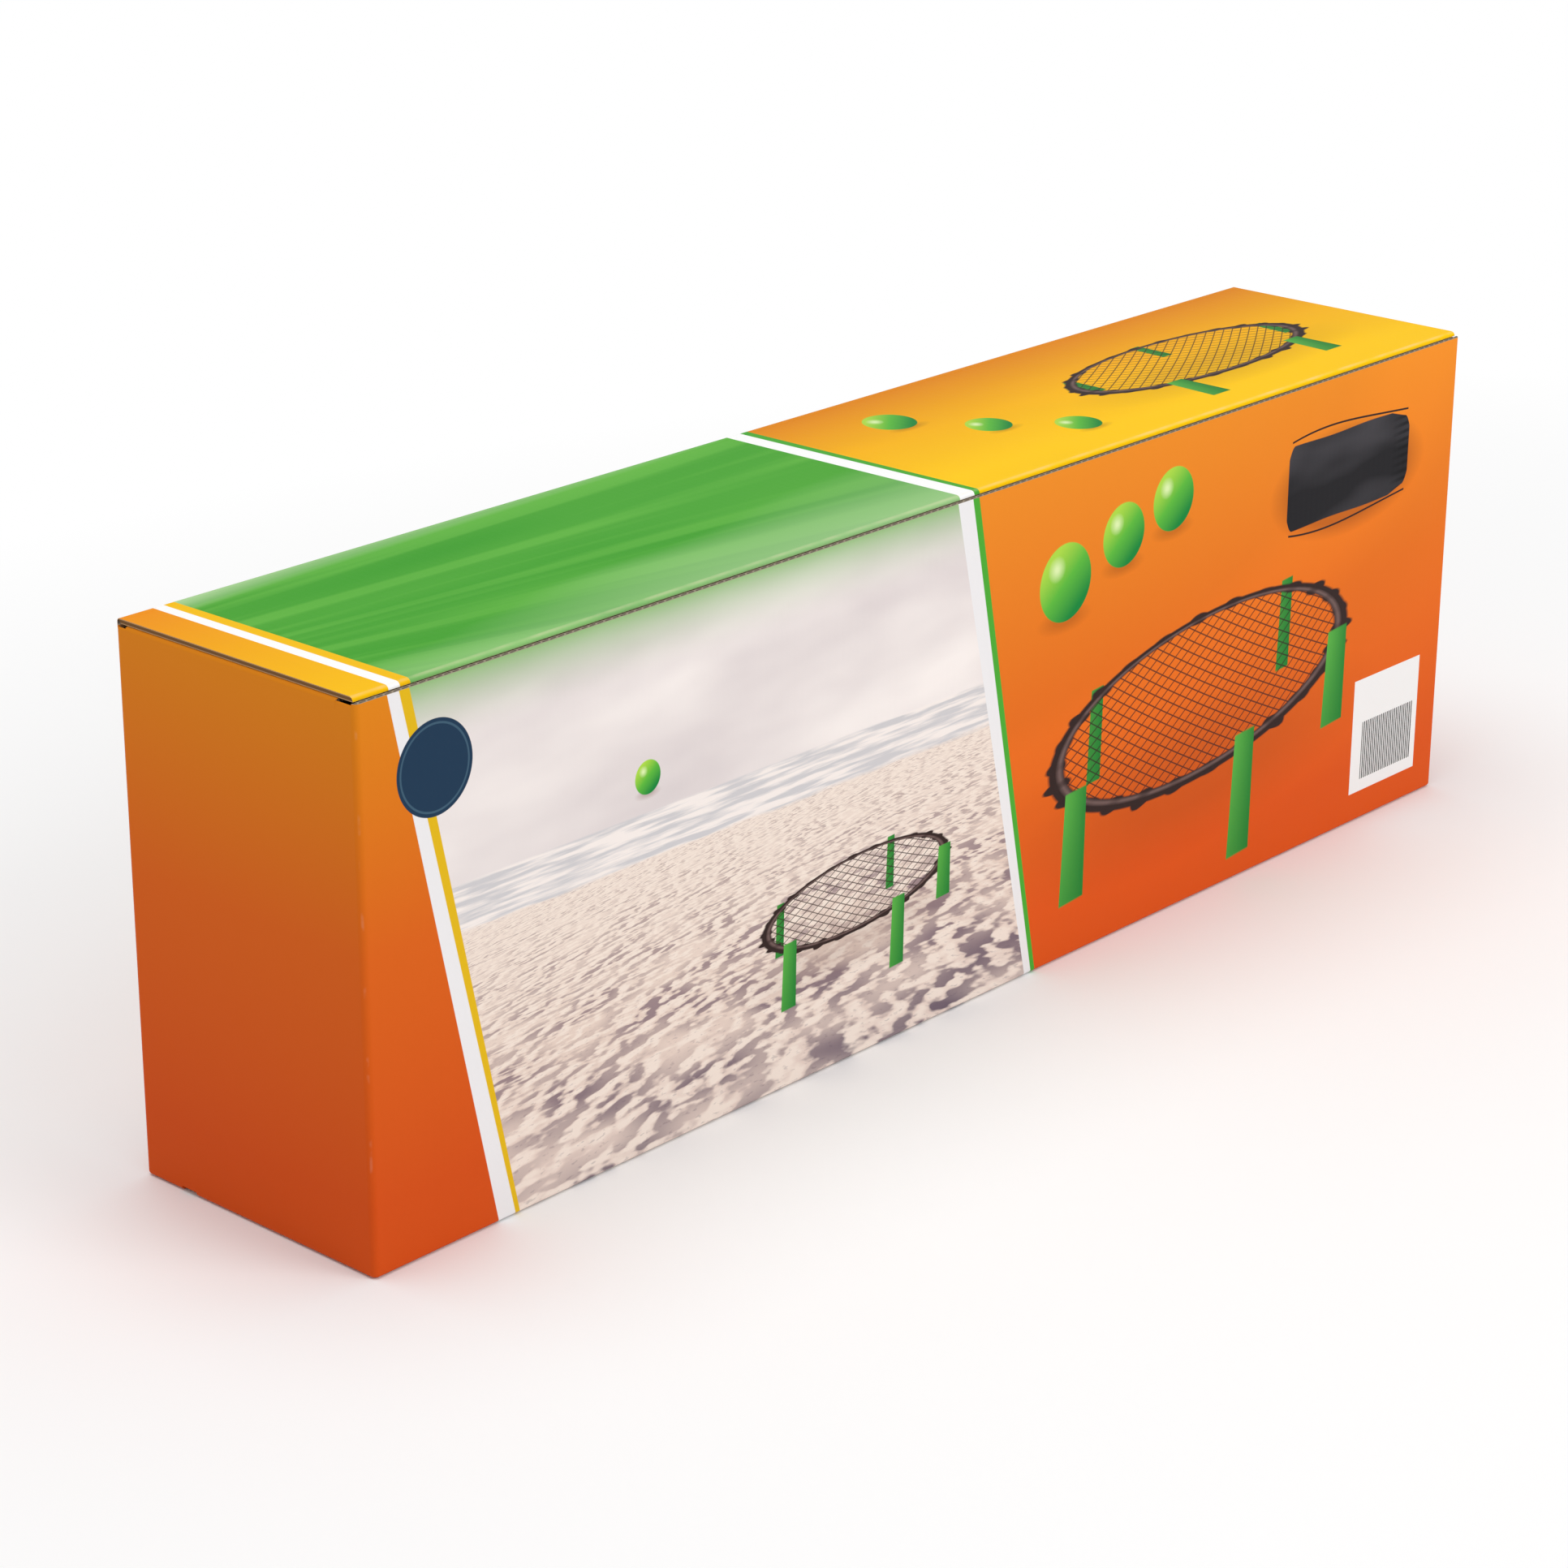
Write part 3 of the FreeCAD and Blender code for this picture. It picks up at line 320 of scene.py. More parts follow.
def paint_ball(shader, base, u, v, middle, radius):
    """A glossy green ball drawn at middle: lighter at its upper left, with a soft shade under it."""
    across, down = (u - middle[0]) / radius, (v - middle[1]) / radius
    shade = across.reach((down - 0.95) * 3.0).under(0.75, 0.7)
    base = shader.mix(base, ink(120, 60, 20), shade * 0.35)
    glow = (across + down * 1.3).line(0.36, 0.5, clamp=True)
    colour = shader.fade(glow, 0.0, 1.0, ink(170, 214, 72), ink(92, 182, 62), ink(24, 132, 60))
    sparkle = (across + 0.35).reach(down + 0.4).under(0.2, 0.3)
    colour = shader.mix(colour, ink(232, 246, 190), sparkle * 0.8)
    return shader.mix(base, colour, across.reach(down).under(1.0, 0.3 / radius))


def paint_ribbon(shader, base, u, v, foot, wide, drop, dark, light):
    """A flat leg hanging from foot: brighter on its left, darker towards the ground."""
    down = (v - foot[1]) / drop
    lean = (v - foot[1]) * 0.03
    across = (u - foot[0] + lean) / (wide * 0.5)
    body = abs(across).under(down.line(0.12, 0.94), 0.5 / wide) * down.between(-0.12, 1.0, 0.02)
    shine = across.line(-0.4, 0.5, clamp=True) * down.line(-0.5, 1.0, clamp=True)
    return shader.mix(base, shader.mix(dark, light, shine), body)


def paint_net(shader, base, u, v, wide, middle, flat, drop, turns, tilt):
    """A plain round net seen aslant: ribbons behind, sagging mesh, knotted rim, ribbons in front.

    In its own measure the rim is the unit circle; mesh lines are even steps of two slanted sums of
    the across and down values, bent a little so that they sag.
    """
    look = bpy.context.scene.print_look
    wide = wide / MM
    high, drop = wide * flat, wide * drop
    v = v - (u - middle[0]) * tilt
    across, down = (u - middle[0]) / wide, (v - middle[1]) / high
    reach = across.reach(down)
    shade = across.reach((down - drop / high) * 1.4).under(0.9, 0.9)
    base = shader.mix(base, ink(96, 44, 22), shade * 0.22)
    spots = [(middle[0] + wide * math.cos(turn), middle[1] + high * math.sin(turn), math.sin(turn))
             for turn in map(math.radians, turns)]
    dark, light = look.ribbon_dark, look.ribbon_light
    for x, y, near in spots:
        if near < 0:
            base = paint_ribbon(shader, base, u, v, (x, y), wide * 0.085, drop, dark, ink(72, 150, 62))
    sag = down + across * across * 0.16
    rows = [((across * slope + sag) * (0.05 * wide + 2.4)).fraction() for slope in (1.7, -1.7)]
    threads = [abs(row - 0.5).over(0.435, 0.05) for row in rows]
    mesh = threads[0].high(threads[1]) * reach.under(1.0, 0.02)
    base = shader.mix(base, look.rim, mesh * 0.85)
    turn = shader.node("ShaderNodeMath", {"operation": "ARCTAN2"}, (down, across))
    knot = (turn * 26.0).sin().over(0.5, 0.9) * (turn * 7.0).sin().line(0.4, 0.6)
    thick = down.line(0.014, 0.052)
    outer = 1.0 + thick * (1.0 + knot * 0.9)
    inner = 1.0 - thick * (1.0 + knot * 0.5)
    rim = reach.under(outer, 0.02) * reach.over(inner, 0.02)
    gloss = ((reach - 1.0) / thick * -1.0).between(0.1, 0.7, 0.5) * (1.0 - knot * 0.6)
    base = shader.mix(base, shader.mix(look.rim, ink(128, 104, 100), gloss * 0.7), rim)
    for x, y, near in spots:
        if near >= 0:
            fall = drop * (1.0 + 0.4 * near)
            base = paint_ribbon(shader, base, u, v, (x, y), wide * 0.15, fall, dark, light)
    return base


def paint_pouch(shader, base, u, v, middle):
    """A dark flat pouch lying on its side, drawn in a little at the right, with two slack strings."""
    across, down = u - middle[0], v - middle[1]
    gather = across.over(32.0, 9.0)
    half = 16.5 - gather * 2.4 + (across * 0.13).sin() * 0.25
    corner = (abs(across) - 36.5).high(0.0)
    half = half - corner * corner * 0.4
    body = abs(down).under(half, 0.3) * abs(across).under(40.0, 0.3)
    shade = (across / 45.0).reach((down - 3.0) / 20.0).under(1.0, 0.3)
    base = shader.mix(base, ink(110, 52, 24), shade * 0.45)
    fold = shader.noise(0.05, 1.5, (u * 0.4, v * 1.1, 0.0))
    pleat = (down * 2.0 + across * 0.1).sin().over(0.2, 1.2) * gather
    cloth = shader.mix(ink(36, 35, 38), ink(66, 64, 68), fold.over(0.56, 0.3))
    cloth = shader.mix(cloth, ink(20, 20, 22), pleat * 0.7)
    base = shader.mix(base, cloth, body)
    slack = (across * 0.055).sin() * 1.2 + across * across * 0.0016
    string = abs(abs(down) - (19.6 - slack)).under(0.38, 0.2) * abs(across).under(38.5, 0.3)
    return shader.mix(base, ink(44, 36, 36), string)


def shore(shader, u, v):
    """An empty shore: hazy sky, a strip of sea, and trodden sand laid out on a level ground.

    A point below the horizon looks at the ground at a distance of height over drop, so the sand's
    own pattern is read at sideways offset times that distance, and at the distance itself. The
    pattern's light and shade are its differences from itself a little further on.
    """
    look = bpy.context.scene.print_look
    cloud = shader.noise(0.024, 3.0, (u * 0.35, v, 0.0))
    sky = shader.mix(look.sky_low, look.sky_high, cloud.over(0.48, 0.4))
    haze = v.line(-1 / 25, 1.0, clamp=True)
    sky = shader.mix(sky, look.haze, haze * haze * 0.95)
    swell = shader.noise(0.32, 3.0, (u * 0.1, v * 1.5, 0.0))
    sea = shader.mix(ink(204, 201, 203), ink(242, 233, 228), swell.over(0.5, 0.16))
    far = 100.0 / ((v - HORIZON).high(0.8) + 6.0)
    aside, ahead = (u - VIEW_MIDDLE) * far, far * 300.0
    ground = shader.vector(aside, ahead, 0.0)
    beyond = shader.vector(aside + 4.2, ahead - 3.2, 0.0)
    tread, next_tread = (shader.noise(0.058, 2.5, place) for place in (ground, beyond))
    slope = (next_tread - tread) * 5.0
    grit = shader.noise(0.3, 2.0, ground)
    light = shader.fade(v, BEACH, HEIGHT, look.sand, ink(226, 205, 192), ink(224, 204, 194))
    dark = shader.fade(v, BEACH, HEIGHT, ink(196, 176, 168), ink(142, 120, 126), look.sand_shade)
    shadow = (slope + (tread - 0.5) * 1.6).under(v.line(0.0022, -0.42), 0.3)
    patch = shader.noise(0.017, 1.0, ground)
    sand = shader.mix(light, dark, shadow * patch.over(0.46, 0.3) * 0.92)
    sand = shader.mix(sand, ink(246, 233, 221), slope.over(0.25, 0.5) * 0.6)
    sand = shader.mix(sand, dark, grit.under(0.36, 0.1) * 0.3)
    picture = shader.mix(sky, sea, v.over(HORIZON, 0.8))
    return shader.mix(picture, sand, (v + swell * 4.0).over(BEACH, 1.5))


def swooshes(shader, colour, u, v):
    """Two wide pale arcs, as a gradient tool leaves them on a plain field.

    They are rings of a flat ellipse, whose middle lies on the panel's top edge.
    """
    arc = ((u - 250.0) / 330.0).reach(v / 120.0)
    band = arc.between(0.82, 1.02, 0.1) + arc.between(1.22, 1.5, 0.16) * 0.7
    return tinted(shader, colour, band.line(0.06, 0.98))


def side_by_side(shader, u, v, bands, colours):
    """Fields along a panel: each colour takes over where u passes its start, which shifts with v."""
    result = colours[0]
    for (start, slant), colour in zip(bands, colours[1:]):
        result = shader.mix(result, colour, (u - v * slant).over(start))
    return result


def front_ground(shader, v):
    """The long panels' plain left field and right field."""
    look = bpy.context.scene.print_look
    return (shader.fade(v, 0.0, FIELD_SHADE, look.left_top, look.left_middle, look.left_low),
            shader.fade(v, 0.0, FIELD_SHADE, look.right_top, look.right_middle, look.right_low))


def front_print(shader, u, v):
    """The long panels: u runs from the left end and v down from the top, in millimetres."""
    look = bpy.context.scene.print_look
    field, amber = front_ground(shader, v)

    picture = shore(shader, u, v)
    picture = paint_net(shader, picture, u, v, look.shore_net, **SHORE_NET)
    picture = paint_ball(shader, picture, u, v, *SHORE_BALL)

    amber = swooshes(shader, amber, u, v)
    amber = paint_net(shader, amber, u, v, look.front_net, **FRONT_NET)
    for middle, radius in FRONT_BALLS:
        amber = paint_ball(shader, amber, u, v, middle, radius)
    amber = paint_pouch(shader, amber, u, v, POUCH_PLACE)
    amber = shader.mix(amber, look.label, u.between(*LABEL_ACROSS) * v.between(*LABEL_DOWN))
    bars = (u / BAR_PITCH).fraction().over(0.5, 0.1)
    amber = shader.mix(amber, ink(38, 38, 40), bars * u.between(*BARS_ACROSS) * v.between(*BARS_DOWN))

    colours = (field, look.wall_white, look.wall_yellow, picture, look.wall_white, look.green, amber)
    colour = side_by_side(shader, u, v, FRONT_BANDS, colours)
    reach = (u - BADGE_PLACE[0]).reach(v - BADGE_PLACE[1])
    rim = look.badge_radius / MM
    badge = shader.mix(look.badge, ink(64, 92, 112), reach.between(rim - 1.9, rim - 1.2))
    return shader.mix(colour, badge, reach.under(rim))


def lid_ground(shader, u, v):
    """The lid's left, middle and right fields; v runs from the back edge to the front.

    The middle field has straight rays that fan out a little from the left, and pales to the front
    and at its back left corner.
    """
    look = bpy.context.scene.print_look
    side = shader.fade(v, 0.0, 2 * HALF_DEPTH,
                       look.lid_left_back, ink(243, 172, 6), look.lid_left_front)
    fan = (v - RAYS_MEET[1]) / (u - RAYS_MEET[0])
    ray = shader.noise(0.55, 2.0, (fan * 60.0, u * 0.004, 0.0))
    soft = shader.noise(0.5, 1.0, (fan * 24.0, u * 0.01, 4.0))
    lawn = shader.mix(look.lawn, look.lawn_ray, (ray.over(0.52, 0.1) + soft.over(0.5, 0.4)) * 0.45)
    glow = (v * 0.011 + (u - 24.0) * 0.0012 + soft * 0.3).over(1.45, 0.7)
    # Paler along the back edge, most towards the left
    pale_back_edge = ((14.0 - v) * 0.05 + (120.0 - u) * 0.002 + soft * 0.3).over(0.75, 0.6)
    lawn = shader.mix(lawn, look.lawn_pale, glow.high(pale_back_edge))
    gold = shader.fade(v, 4.0, 92.0, look.gold_back, look.gold_middle, look.gold_front)
    return side, lawn, tinted(shader, gold, washed(shader, u, v, 0.02, 0.05))


def lid_fields(shader, u, v, side, lawn, gold):
    """Sets the lid's fields side by side, with their white, yellow and green bands between."""
    look = bpy.context.scene.print_look
    colours = (side, look.white, look.yellow, lawn, look.white, look.green, gold)
    return side_by_side(shader, u, v, LID_BANDS, colours)


def lid_print(shader, u, v):
    """The lid: u runs from the left end and v from the back edge to the front, in millimetres."""
    side, lawn, gold = lid_ground(shader, u, v)
    gold = paint_net(shader, gold, u, v, bpy.context.scene.print_look.lid_net, **LID_NET)
    for middle, radius in LID_BALLS:
        gold = paint_ball(shader, gold, u, v, middle, radius)
    return lid_fields(shader, u, v, side, lawn, gold)


def kraft(shader):
    """Unprinted brown liner with fibres and flecks; the trace of the flutes behind it comes from the
    board's bump.
    """
    fibre = shader.noise(0.9, 4.0, rough=0.65)
    fleck = shader.noise(0.45, 3.0)
    look = bpy.context.scene.board_look
    colour = shader.mix(look.liner_fibre, look.liner, fibre.over(0.5, 0.5))
    return shader.mix(colour, ink(152, 120, 86), fleck.over(0.66, 0.2) * 0.45)


def cut_edge(shader, along, across):
    """The raw edge of fluted board: two liners with a wave between them, and painted shade in the dark
    gaps.
    """
    wave = abs(across - (along * (2 * math.pi / FLUTE)).sin() * 0.46).under(0.24, 0.2)
    liner = abs(across).over(0.52, 0.16)
    # The darker ink is painted shade in the flutes' hollows
    return shader.mix(ink(92, 84, 74), ink(156, 144, 128), wave.high(liner))


def board_material(name, design, attribute=None):
    """Board printed outside, brown inside and fluted on its cut edges; design picks what is where."""
    shader = Shader(name, attribute)
    look = bpy.context.scene.board_look
    colour, printed = design(shader)
    speck = shader.noise(1.1, 3.0)
    flute = (shader.x * (2 * math.pi / FLUTE)).sin()
    mottle = shader.noise(0.03, 2.0)
    gloss = speck.line(0.1, look.print_roughness - 0.05)
    roughness = printed.line(-0.42, 0.85) * gloss / look.print_roughness
    height = flute * 0.05 * (1.0 - printed * 0.7) + mottle * 0.8 + speck * 0.06
    return shader.finish(colour, roughness, height, look.relief / MM,
                         Specular_IOR_Level=0.03, Coat_Weight=printed * look.varnish,
                         Coat_Roughness=0.3)


def sleeve_design(shader):
    """Front, back and end panels by which outer face is nearest."""
    look = bpy.context.scene.board_look
    end = abs(shader.x) - HALF_LENGTH
    side = abs(shader.y) - HALF_DEPTH
    down = HEIGHT - shader.z
    back = shader.y.over(0.0, 1.0)
    along = shader.x * (1.0 - back * 2.0) + HALF_LENGTH
    long_panel = front_print(shader, along, down)
    short_panel = shader.mix(*front_ground(shader, down), shader.x.over(0.0, 1.0))
    colour = shader.mix(long_panel, short_panel, (end - side).over(0.0, 0.1))
    nearest = end.high(side)
    rub = shader.noise(0.12, 3.0).over(0.62, 0.1)
    corner = (end + side).over(-1.1, 0.6) * rub
    colour = shader.mix(colour, look.rubbed, corner * look.wear)
    raw = shader.z.over(WALL_TOP - 0.06, 0.04)
    printed = nearest.high(-shader.z).over(-0.85, 0.1) * (1.0 - raw)
    plain = shader.mix(kraft(shader), cut_edge(shader, shader.x + shader.y, nearest + BOARD / 2), raw)
    return shader.mix(plain, colour, printed), printed


def lid_design(shader):
    """The lid's top and its rounded front fold, with the cut ends and the brown underside."""
    look = bpy.context.scene.board_look
    below = HEIGHT - BOARD
    front = (below - shader.z).high(0.0)
    colour = lid_print(shader, shader.x + HALF_LENGTH, HALF_DEPTH - shader.y + front)
    # A pale broken line on the crease: partly rubbed board, partly a painted highlight along the fold
    crease = abs(shader.y - LID_CREASE).under(0.5, 0.5)
    rub = shader.noise(0.08, 3.0).over(0.46, 0.5)
    colour = shader.mix(colour, look.rubbed, crease * rub * (0.7 * look.wear))
    cut = abs(shader.x).over(HALF_LENGTH - 1.02, 0.02)
    mitre = (shader.y - shader.z).over(HALF_DEPTH - HEIGHT - GAP - 0.05, 0.04)
    printed = (1.0 - cut) * (1.0 - mitre) * shader.z.over(below + 0.04, 0.04)
    # The cut ends' darker middle is the fluted core: partly its own brown, partly painted shade in its
    # hollows
    layers = abs(shader.z - (HEIGHT - BOARD / 2)).over(0.5, 0.15)
    edge = shader.mix(ink(120, 88, 58), ink(188, 150, 110), layers)
    plain = shader.mix(kraft(shader), edge, cut)
    return shader.mix(plain, colour, printed), printed


def flap_design(facing, colour):
    """A flap printed on the side that its outer normal faces, in one colour that clouds a little."""
    def design(shader):
        turn = shader.node("ShaderNodeTexCoord", output="Normal")
        straight = shader.node("ShaderNodeVectorMath", {"operation": "DOT_PRODUCT"}, (turn, facing),
                               "Value")
        printed = straight.over(0.7, 0.1)
        edge = abs(straight).under(0.4, 0.1)
        brown = shader.mix(kraft(shader), cut_edge(shader, shader.x + shader.y, shader.z * 0.0), edge)
        darker = [*(0.88 * part for part in colour[:3]), 1.0]
        ground = shader.mix(colour, darker, shader.noise(0.02, 2.0))
        return shader.mix(brown, ground, printed), printed
    return design


# Shapes

def new_piece(name, points, faces, merge, smooth=True):
    """A piece at the origin from points in millimetres and faces of four corners.

    Corners closer than merge, in metres, become one, and the faces are turned outwards.
    """
    mesh = bpy.data.meshes.new(name)
    mesh.from_pydata(points.reshape(-1, 3) * MM, [], faces.reshape(-1, 4))
    work = bmesh.new()
    work.from_mesh(mesh)
    bmesh.ops.remove_doubles(work, verts=work.verts, dist=merge)
    bmesh.ops.dissolve_degenerate(work, dist=1e-7, edges=work.edges)
    bmesh.ops.recalc_face_normals(work, faces=work.faces)
    work.to_mesh(mesh)
    work.free()
    if smooth:
        mesh.shade_smooth()
    piece = bpy.data.objects.new(name, mesh)
    bpy.context.scene.collection.objects.link(piece)
    return piece


def surface(name, grid, smooth=True):
    """A mesh from a grid of points (rows, columns, 3); its columns close into rings."""
    rows, columns = grid.shape[:2]
    index = np.arange(rows * columns).reshape(rows, columns)
    after = np.roll(index, -1, axis=1)
    faces = np.stack([index[:-1], index[1:], after[1:], after[:-1]], axis=-1)
    return new_piece(name, grid, faces, merge=1e-6, smooth=smooth)


def tubes(name, paths, radius, sides=6):
    """Round tubes of one radius along several paths (paths, points, 3), with closed ends."""
    ahead = np.gradient(paths, axis=1)
    ahead /= np.linalg.norm(ahead, axis=2, keepdims=True)
    side = np.cross(ahead, (0.13, 0.0, 1.0))
    side /= np.linalg.norm(side, axis=2, keepdims=True)
    up = np.cross(side, ahead)
    turn = np.linspace(0, 2 * math.pi, sides, endpoint=False)
    ring = (side[:, :, None] * np.cos(turn)[:, None] + up[:, :, None] * np.sin(turn)[:, None]) * radius
    count, steps = paths.shape[:2]
    points = paths[:, :, None] + ring
    points = np.concatenate([np.repeat(paths[:, :1, None], sides, 2), points,
                             np.repeat(paths[:, -1:, None], sides, 2)], axis=1)
    index = np.arange(count * (steps + 2) * sides).reshape(count, steps + 2, sides)
    after = np.roll(index, -1, axis=2)
    faces = np.stack([index[:, :-1], after[:, :-1], after[:, 1:], index[:, 1:]], axis=-1)
    return new_piece(name, points, faces, merge=1e-7)


def dress(piece, material):
    piece.data.materials.clear()
    piece.data.materials.append(material)


def dress_nodes(material, *names):
    """Gives carried-over solids their material."""
    for name in names:
        node = NODE[name]
        if not node.material_slots:
            node.data.materials.append(material)
        for slot in node.material_slots:
            slot.material = material


def soft_block(rows, columns, squareness):
    """A pillow-like block from -1 to 1 each way, sampled from its lower pole to its upper one.

    It is a superellipsoid: the sines and cosines of an ellipsoid, each taken to one power.
    """
    rise = np.linspace(-math.pi / 2, math.pi / 2, rows)[:, None]
    turn = np.linspace(-math.pi, math.pi, columns, endpoint=False)[None, :]

    def squared(value, power):
        return np.sign(value) * np.abs(value) ** power

    ring = squared(np.cos(rise), squareness)
    return np.stack([ring * squared(np.cos(turn), squareness),
                     ring * squared(np.sin(turn), squareness),
                     squared(np.sin(rise), squareness) + 0 * turn], axis=-1)


def cradle(points, clearance):
    """Raises points that would lie below the curve of the upper rim pieces' collars.

    The inner side of the collars follows a circle above the carton's middle, lowest where x is 0.
    """
    centre = corners("rim_tube_5")[0][2] + RIM_BEND + RIM_COLLAR
    reach = RIM_BEND - RIM_COLLAR - clearance
    floor = centre - np.sqrt(reach ** 2 - points[..., 0] ** 2)
    points[..., 2] = np.maximum(points[..., 2], floor)
    return points


# Settings

COLOUR = {"subtype": "COLOR", "size": 4, "min": 0.0, "max": 1.0}


def tone(name, description, *levels):
    """A colour that the user may set, given as 8-bit screen values."""
    return FloatVectorProperty(name=name, description=description, default=ink(*levels), **COLOUR)


def length(name, description, default, low, high):
    """A length that the user may set, given in millimetres."""
    return FloatProperty(name=name, description=description, default=default * MM,
                         min=low * MM, max=high * MM, unit="LENGTH", precision=5)


def share(name, description, default, low=0.0):
    """A share of 1 that the user may set."""
    return FloatProperty(name=name, description=description, default=default, min=low, max=1.0,
                         subtype="FACTOR")


class PrintLook(bpy.types.PropertyGroup):
    """The inks of the printed board, and the sizes of what is drawn on it."""

    front_net: length("Front net", "Half width of the net drawn on the long panels", 88, 20, 110)
    shore_net: length("Shore net", "Half width of the net in the shore picture", 46, 10, 80)
    lid_net: length("Lid net", "Half width of the net drawn on the lid", 66, 20, 90)
    badge_radius: length("Badge radius", "Radius of the round badge", 15.5, 4, 25)
    left_top: tone("Left top", "Ends and long panels' left, at the top", 222, 132, 26)
    left_middle: tone("Left middle", "The same half-way down", 216, 98, 26)
    left_low: tone("Left foot", "The same at the foot", 209, 80, 24)
    right_top: tone("Right top", "Long panels' right field at the top", 237, 141, 38)
    right_middle: tone("Right middle", "The same half-way down", 228, 112, 30)
    right_low: tone("Right foot", "The same at the foot", 219, 86, 26)
    gold_back: tone("Gold back", "The lid's right field at the back", 224, 136, 14)
    gold_middle: tone("Gold middle", "The same in the middle", 246, 180, 4)
    gold_front: tone("Gold front", "The same at the front", 253, 200, 0)
    lid_left_back: tone("Lid left back", "The lid's left field, behind", 238, 144, 12)
    lid_left_front: tone("Lid left front", "The same at the front", 248, 192, 0)
    lawn: tone("Lid green", "The lid's middle field", 64, 157, 44)
    lawn_ray: tone("Lid rays", "The rays across the middle field", 104, 184, 70)
    lawn_pale: tone("Lid pale", "The middle field's pale front", 176, 212, 156)
    white: tone("Lid's white", "The lid's wide bands", 250, 250, 249)
    wall_white: tone("Walls' white", "The long panels' wide bands", 234, 232, 233)
    yellow: tone("Lid's yellow", "The lid's thin band on the left", 244, 190, 8)
    wall_yellow: tone("Walls' yellow", "The long panels' thin left band", 224, 181, 27)
    green: tone("Green band", "The thin band on the right", 76, 168, 54)
    badge: tone("Badge", "The round badge", 34, 58, 82)
    label: tone("Label", "The pale ground of the bars", 238, 237, 236)
    rim: tone("Drawn rim", "Rim and mesh of the drawn nets", 52, 38, 36)
    ribbon_dark: tone("Drawn legs, dark", "Shaded part of the drawn legs", 30, 122, 50)
    ribbon_light: tone("Drawn legs, light", "Lit part of the drawn legs", 96, 180, 74)
    sky_low: tone("Sky, dull", "Darker cloud of the shore picture", 214, 204, 204)
    sky_high: tone("Sky, bright", "Lighter cloud of the shore picture", 244, 236, 232)
    haze: tone("Haze", "Green at the top edge of the shore picture", 120, 178, 88)
    sand: tone("Sand", "Lit sand far off", 236, 220, 208)
    sand_shade: tone("Sand shade", "Shaded sand close by", 92, 76, 96)


class BoardLook(bpy.types.PropertyGroup):
    """The corrugated board under the inks."""

    print_roughness: share("Print roughness", "Roughness of the varnished print", 0.5, 0.05)
    varnish: share("Varnish", "Weight of the clear coat on the print", 0.02)
    relief: length("Board relief", "Depth of the board's unevenness", 0.35, 0, 3)
    # Wear and Rubbed board also set the painted highlight on the lid's crease
    wear: share("Wear", "How far the folds are rubbed to bare board", 0.5)
    skin: length("Fold skin", "Thickness of the liner that bridges a fold", 0.16, 0.05, 0.6)
    liner: tone("Liner", "Brown inner side of the board", 198, 164, 126)
    liner_fibre: tone("Liner fibre", "Darker fibres of the inner side", 170, 136, 100)
    rubbed: tone("Rubbed board", "Bare fibre on the rubbed folds", 232, 214, 186)


class ContentsLook(bpy.types.PropertyGroup):
    """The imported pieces."""

    cord_radius: length("Cord radius", "Radius of the net's cord", 1.1, 0.3, 3)
    cords: IntProperty(name="Cords", description="Net cords in each direction on the bundle",
                       default=22, min=4, max=60)
    bag_folds: IntProperty(name="Bag folds", description="Layers of the folded bag",
                           default=5, min=2, max=12)
    gloss: share("Plastic roughness", "Roughness of the glossy plastics", 0.22, 0.02)
    rim_dark: tone("Rim, dark", "Darker run of the rim pieces", 40, 30, 27)
    rim_light: tone("Rim, light", "Lighter run of the rim pieces", 62, 47, 42)
    leg_dark: tone("Leg, dark", "Darker run of the legs", 34, 120, 44)
    leg_light: tone("Leg, light", "Lighter run of the legs", 62, 152, 58)
    # Painted light on the balls: the shaded colour low and the lit colour high
    ball_shade_low: tone("Ball, low", "Colour low on the balls", 40, 134, 62)
    ball_light_high: tone("Ball, high", "Colour high on the balls", 142, 200, 74)
    cloth_dark: tone("Bag, dark", "Darker thread of the bag", 34, 33, 36)
    cloth_light: tone("Bag, light", "Lighter thread of the bag", 62, 60, 64)
    cord_dark: tone("Net, dark", "Darker strand of the net's cord", 22, 22, 24)
    cord_light: tone("Net, light", "Lighter strand of the net's cord", 66, 64, 68)
    paper: tone("Paper", "The leaflet's paper", 244, 243, 239)


class StageLook(bpy.types.PropertyGroup):
    """Camera, floor and light."""

    camera_place: FloatVectorProperty(
        name="Camera", description="Where the camera stands", subtype="XYZ", unit="LENGTH",
        default=(-1.01842, -0.87682, 0.58025))
    camera_turn: FloatVectorProperty(
        name="Camera turn", description="The camera's rotation", subtype="EULER", unit="ROTATION",
        default=[math.radians(turn) for turn in (69.102, -0.261, -47.947)])
    lens: FloatProperty(name="Lens", description="Focal length on a 36 mm wide sensor",
                        default=91.88, min=10.0, max=300.0, unit="CAMERA")
    floor_tone: FloatVectorProperty(name="Floor", description="The pale floor",
                                    default=ink(252, 252, 252), **COLOUR)
    sky: FloatProperty(name="Sky", description="Strength of the even light from all round",
                       default=0.62, min=0.0, max=5.0)
    key: FloatProperty(name="Key light", description="Power of the large lamp in front", unit="POWER",
                       default=23.0, min=0.0, max=1000.0)
    top: FloatProperty(name="Top light", description="Power of the lamp overhead", unit="POWER",
                       default=16.0, min=0.0, max=1000.0)


# Pieces

